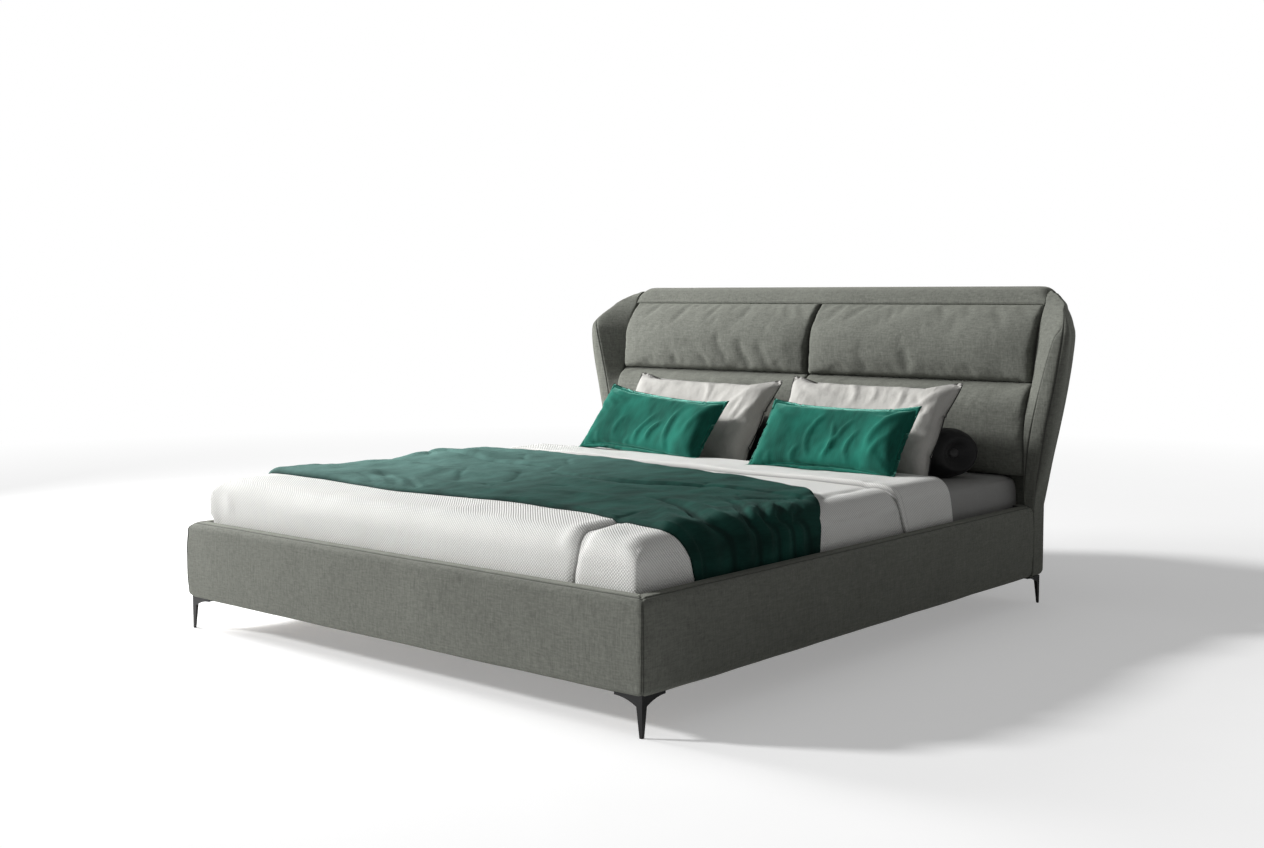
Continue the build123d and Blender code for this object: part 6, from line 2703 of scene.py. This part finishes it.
@dataclass(frozen=True)
class Studio:
    """Floor, lamps, world and camera."""

    eye: Triple = (3.3156, -3.9466, 1.0897)
    turn: float = 0.7079
    pitch: float = 0.0849
    lens: float = 42.99
    world: float = 0.19
    key: float = 2.9
    key_from: Triple = (-0.80, -0.49, 0.48)
    key_soft: float = 0.12
    top: float = 8.0
    left: float = 185.0
    floor_lift: float = 0.30

    def camera(self) -> None:
        """Camera at the photograph's viewing angle."""
        data = bpy.data.cameras.new("camera")
        data.lens, data.sensor_width = self.lens, 36.0
        camera = bpy.data.objects.new("camera", data)
        camera.location = self.eye
        camera.rotation_euler = (math.pi / 2 - self.pitch, 0.0, self.turn)
        bpy.context.scene.collection.objects.link(camera)
        bpy.context.scene.camera = camera

    def lamp(self, name: str, kind: str, energy: float, place: Vector, aim: Vector,
             size: float) -> None:
        """Adds one lamp.

        Args:
            name: Its name.
            kind: Blender's lamp type.
            energy: Its strength.
            place: Where it stands.
            aim: What it points at.
            size: Width of an area lamp, or the angle of a sun.
        """
        data = bpy.data.lights.new(name, kind)
        data.energy = energy
        if kind == "SUN":
            data.angle = size
        else:
            data.shape, data.size = "DISK", size
        lamp = bpy.data.objects.new(name, data)
        lamp.location = place
        lamp.rotation_euler = (place - aim).to_track_quat("Z", "Y").to_euler()
        bpy.context.scene.collection.objects.link(lamp)

    def floor(self) -> None:
        """Pale floor that fades into a white backdrop away from the bed."""
        reach = 60.0
        points = np.array([(-reach, -reach, 0), (reach, -reach, 0), (reach, reach, 0),
                           (-reach, reach, 0)], float)
        floor = mesh_piece("floor", points, [(0, 1, 2, 3)], closed=False)
        graph = Graph("floor")
        place = graph.place()
        distance = graph.node("VectorMath", {0: place}, operation="LENGTH").outputs["Value"]
        fade = graph.between(distance, 2.6, 7.5)
        speck = graph.noise(place, 3.0, 2.0, 0.5)
        color = graph.mixed(speck, (0.78, 0.78, 0.78, 1.0), (0.81, 0.81, 0.81, 1.0))
        diffuse = graph.node("BsdfDiffuse", {"Color": color}).outputs[0]
        glow = graph.node("Emission", {"Color": WHITE, "Strength": 1.0}).outputs[0]
        seen = graph.node("LightPath").outputs["Is Camera Ray"]
        share = graph.product(fade, seen)
        lift = graph.product(seen, self.floor_lift)
        haze = graph.node("Emission", {"Color": WHITE, "Strength": lift}).outputs[0]
        pale = graph.node("AddShader", {0: diffuse, 1: haze}).outputs[0]
        surface = graph.node("MixShader", {0: share, 1: pale, 2: glow}).outputs[0]
        graph.node("OutputMaterial", {"Surface": surface})
        floor.data.materials.append(graph.material)

    def sky(self) -> None:
        """World that lights softly and shows white."""
        world = bpy.data.worlds.new("world")
        bpy.context.scene.world = world
        world.use_nodes = True
        world.node_tree.nodes.clear()
        graph = Network(world.node_tree, "ShaderNode")
        soft = graph.node("Background", {0: WHITE, 1: self.world})
        white = graph.node("Background", {0: WHITE, 1: 1.0})
        path = graph.node("LightPath").outputs
        most = graph.node("Math", {0: path["Is Camera Ray"], 1: path["Is Transmission Ray"]},
                          operation="MAXIMUM")
        mix = graph.node("MixShader", {0: most.outputs[0], 1: soft.outputs[0],
                                       2: white.outputs[0]})
        graph.node("OutputWorld", {0: mix.outputs[0]})

    def build(self) -> None:
        """Sets it all up."""
        self.camera()
        self.floor()
        self.sky()
        way = Vector(self.key_from).normalized()
        self.lamp("key", "SUN", self.key, way * 8, Vector((0, 0, 0)), self.key_soft)
        self.lamp("top", "AREA", self.top, Vector((-0.8, -0.4, 4.2)), Vector((0, 0, 0.4)), 3.4)
        self.lamp("left", "AREA", self.left, Vector((-3.6, -1.2, 1.9)),
                  Vector((0, 0.4, 0.6)), 1.8)
        bpy.context.scene.view_settings.view_transform = "Standard"


def main() -> None:
    """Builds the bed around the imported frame."""
    logging.basicConfig(level=logging.INFO, format="%(name)s %(message)s")
    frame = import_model()
    Studio().build()
    finishes = Finishes()
    places = Places.read()
    paint_nodes(frame["nodes"], finishes)
    Rails(places, finishes).build()
    Pads(places, finishes).build()
    Border(places, finishes).build()
    Wings(places, finishes).build()
    Back(places, finishes).build()
    SlattedBase(finishes).build()
    bedding = Bedding(places, finishes)
    bedding.mattress()
    sheet = bedding.sheet()
    cover = bedding.coverlet()
    ground = tree_of(sheet, cover)
    fold = FoldedEnd(places, finishes, ground).build()
    Throw(places, finishes, tree_of(cover)).build()
    Cushions(places, finishes).build(tree_of(sheet, cover, fold))


if __name__ == "__main__":
    main()
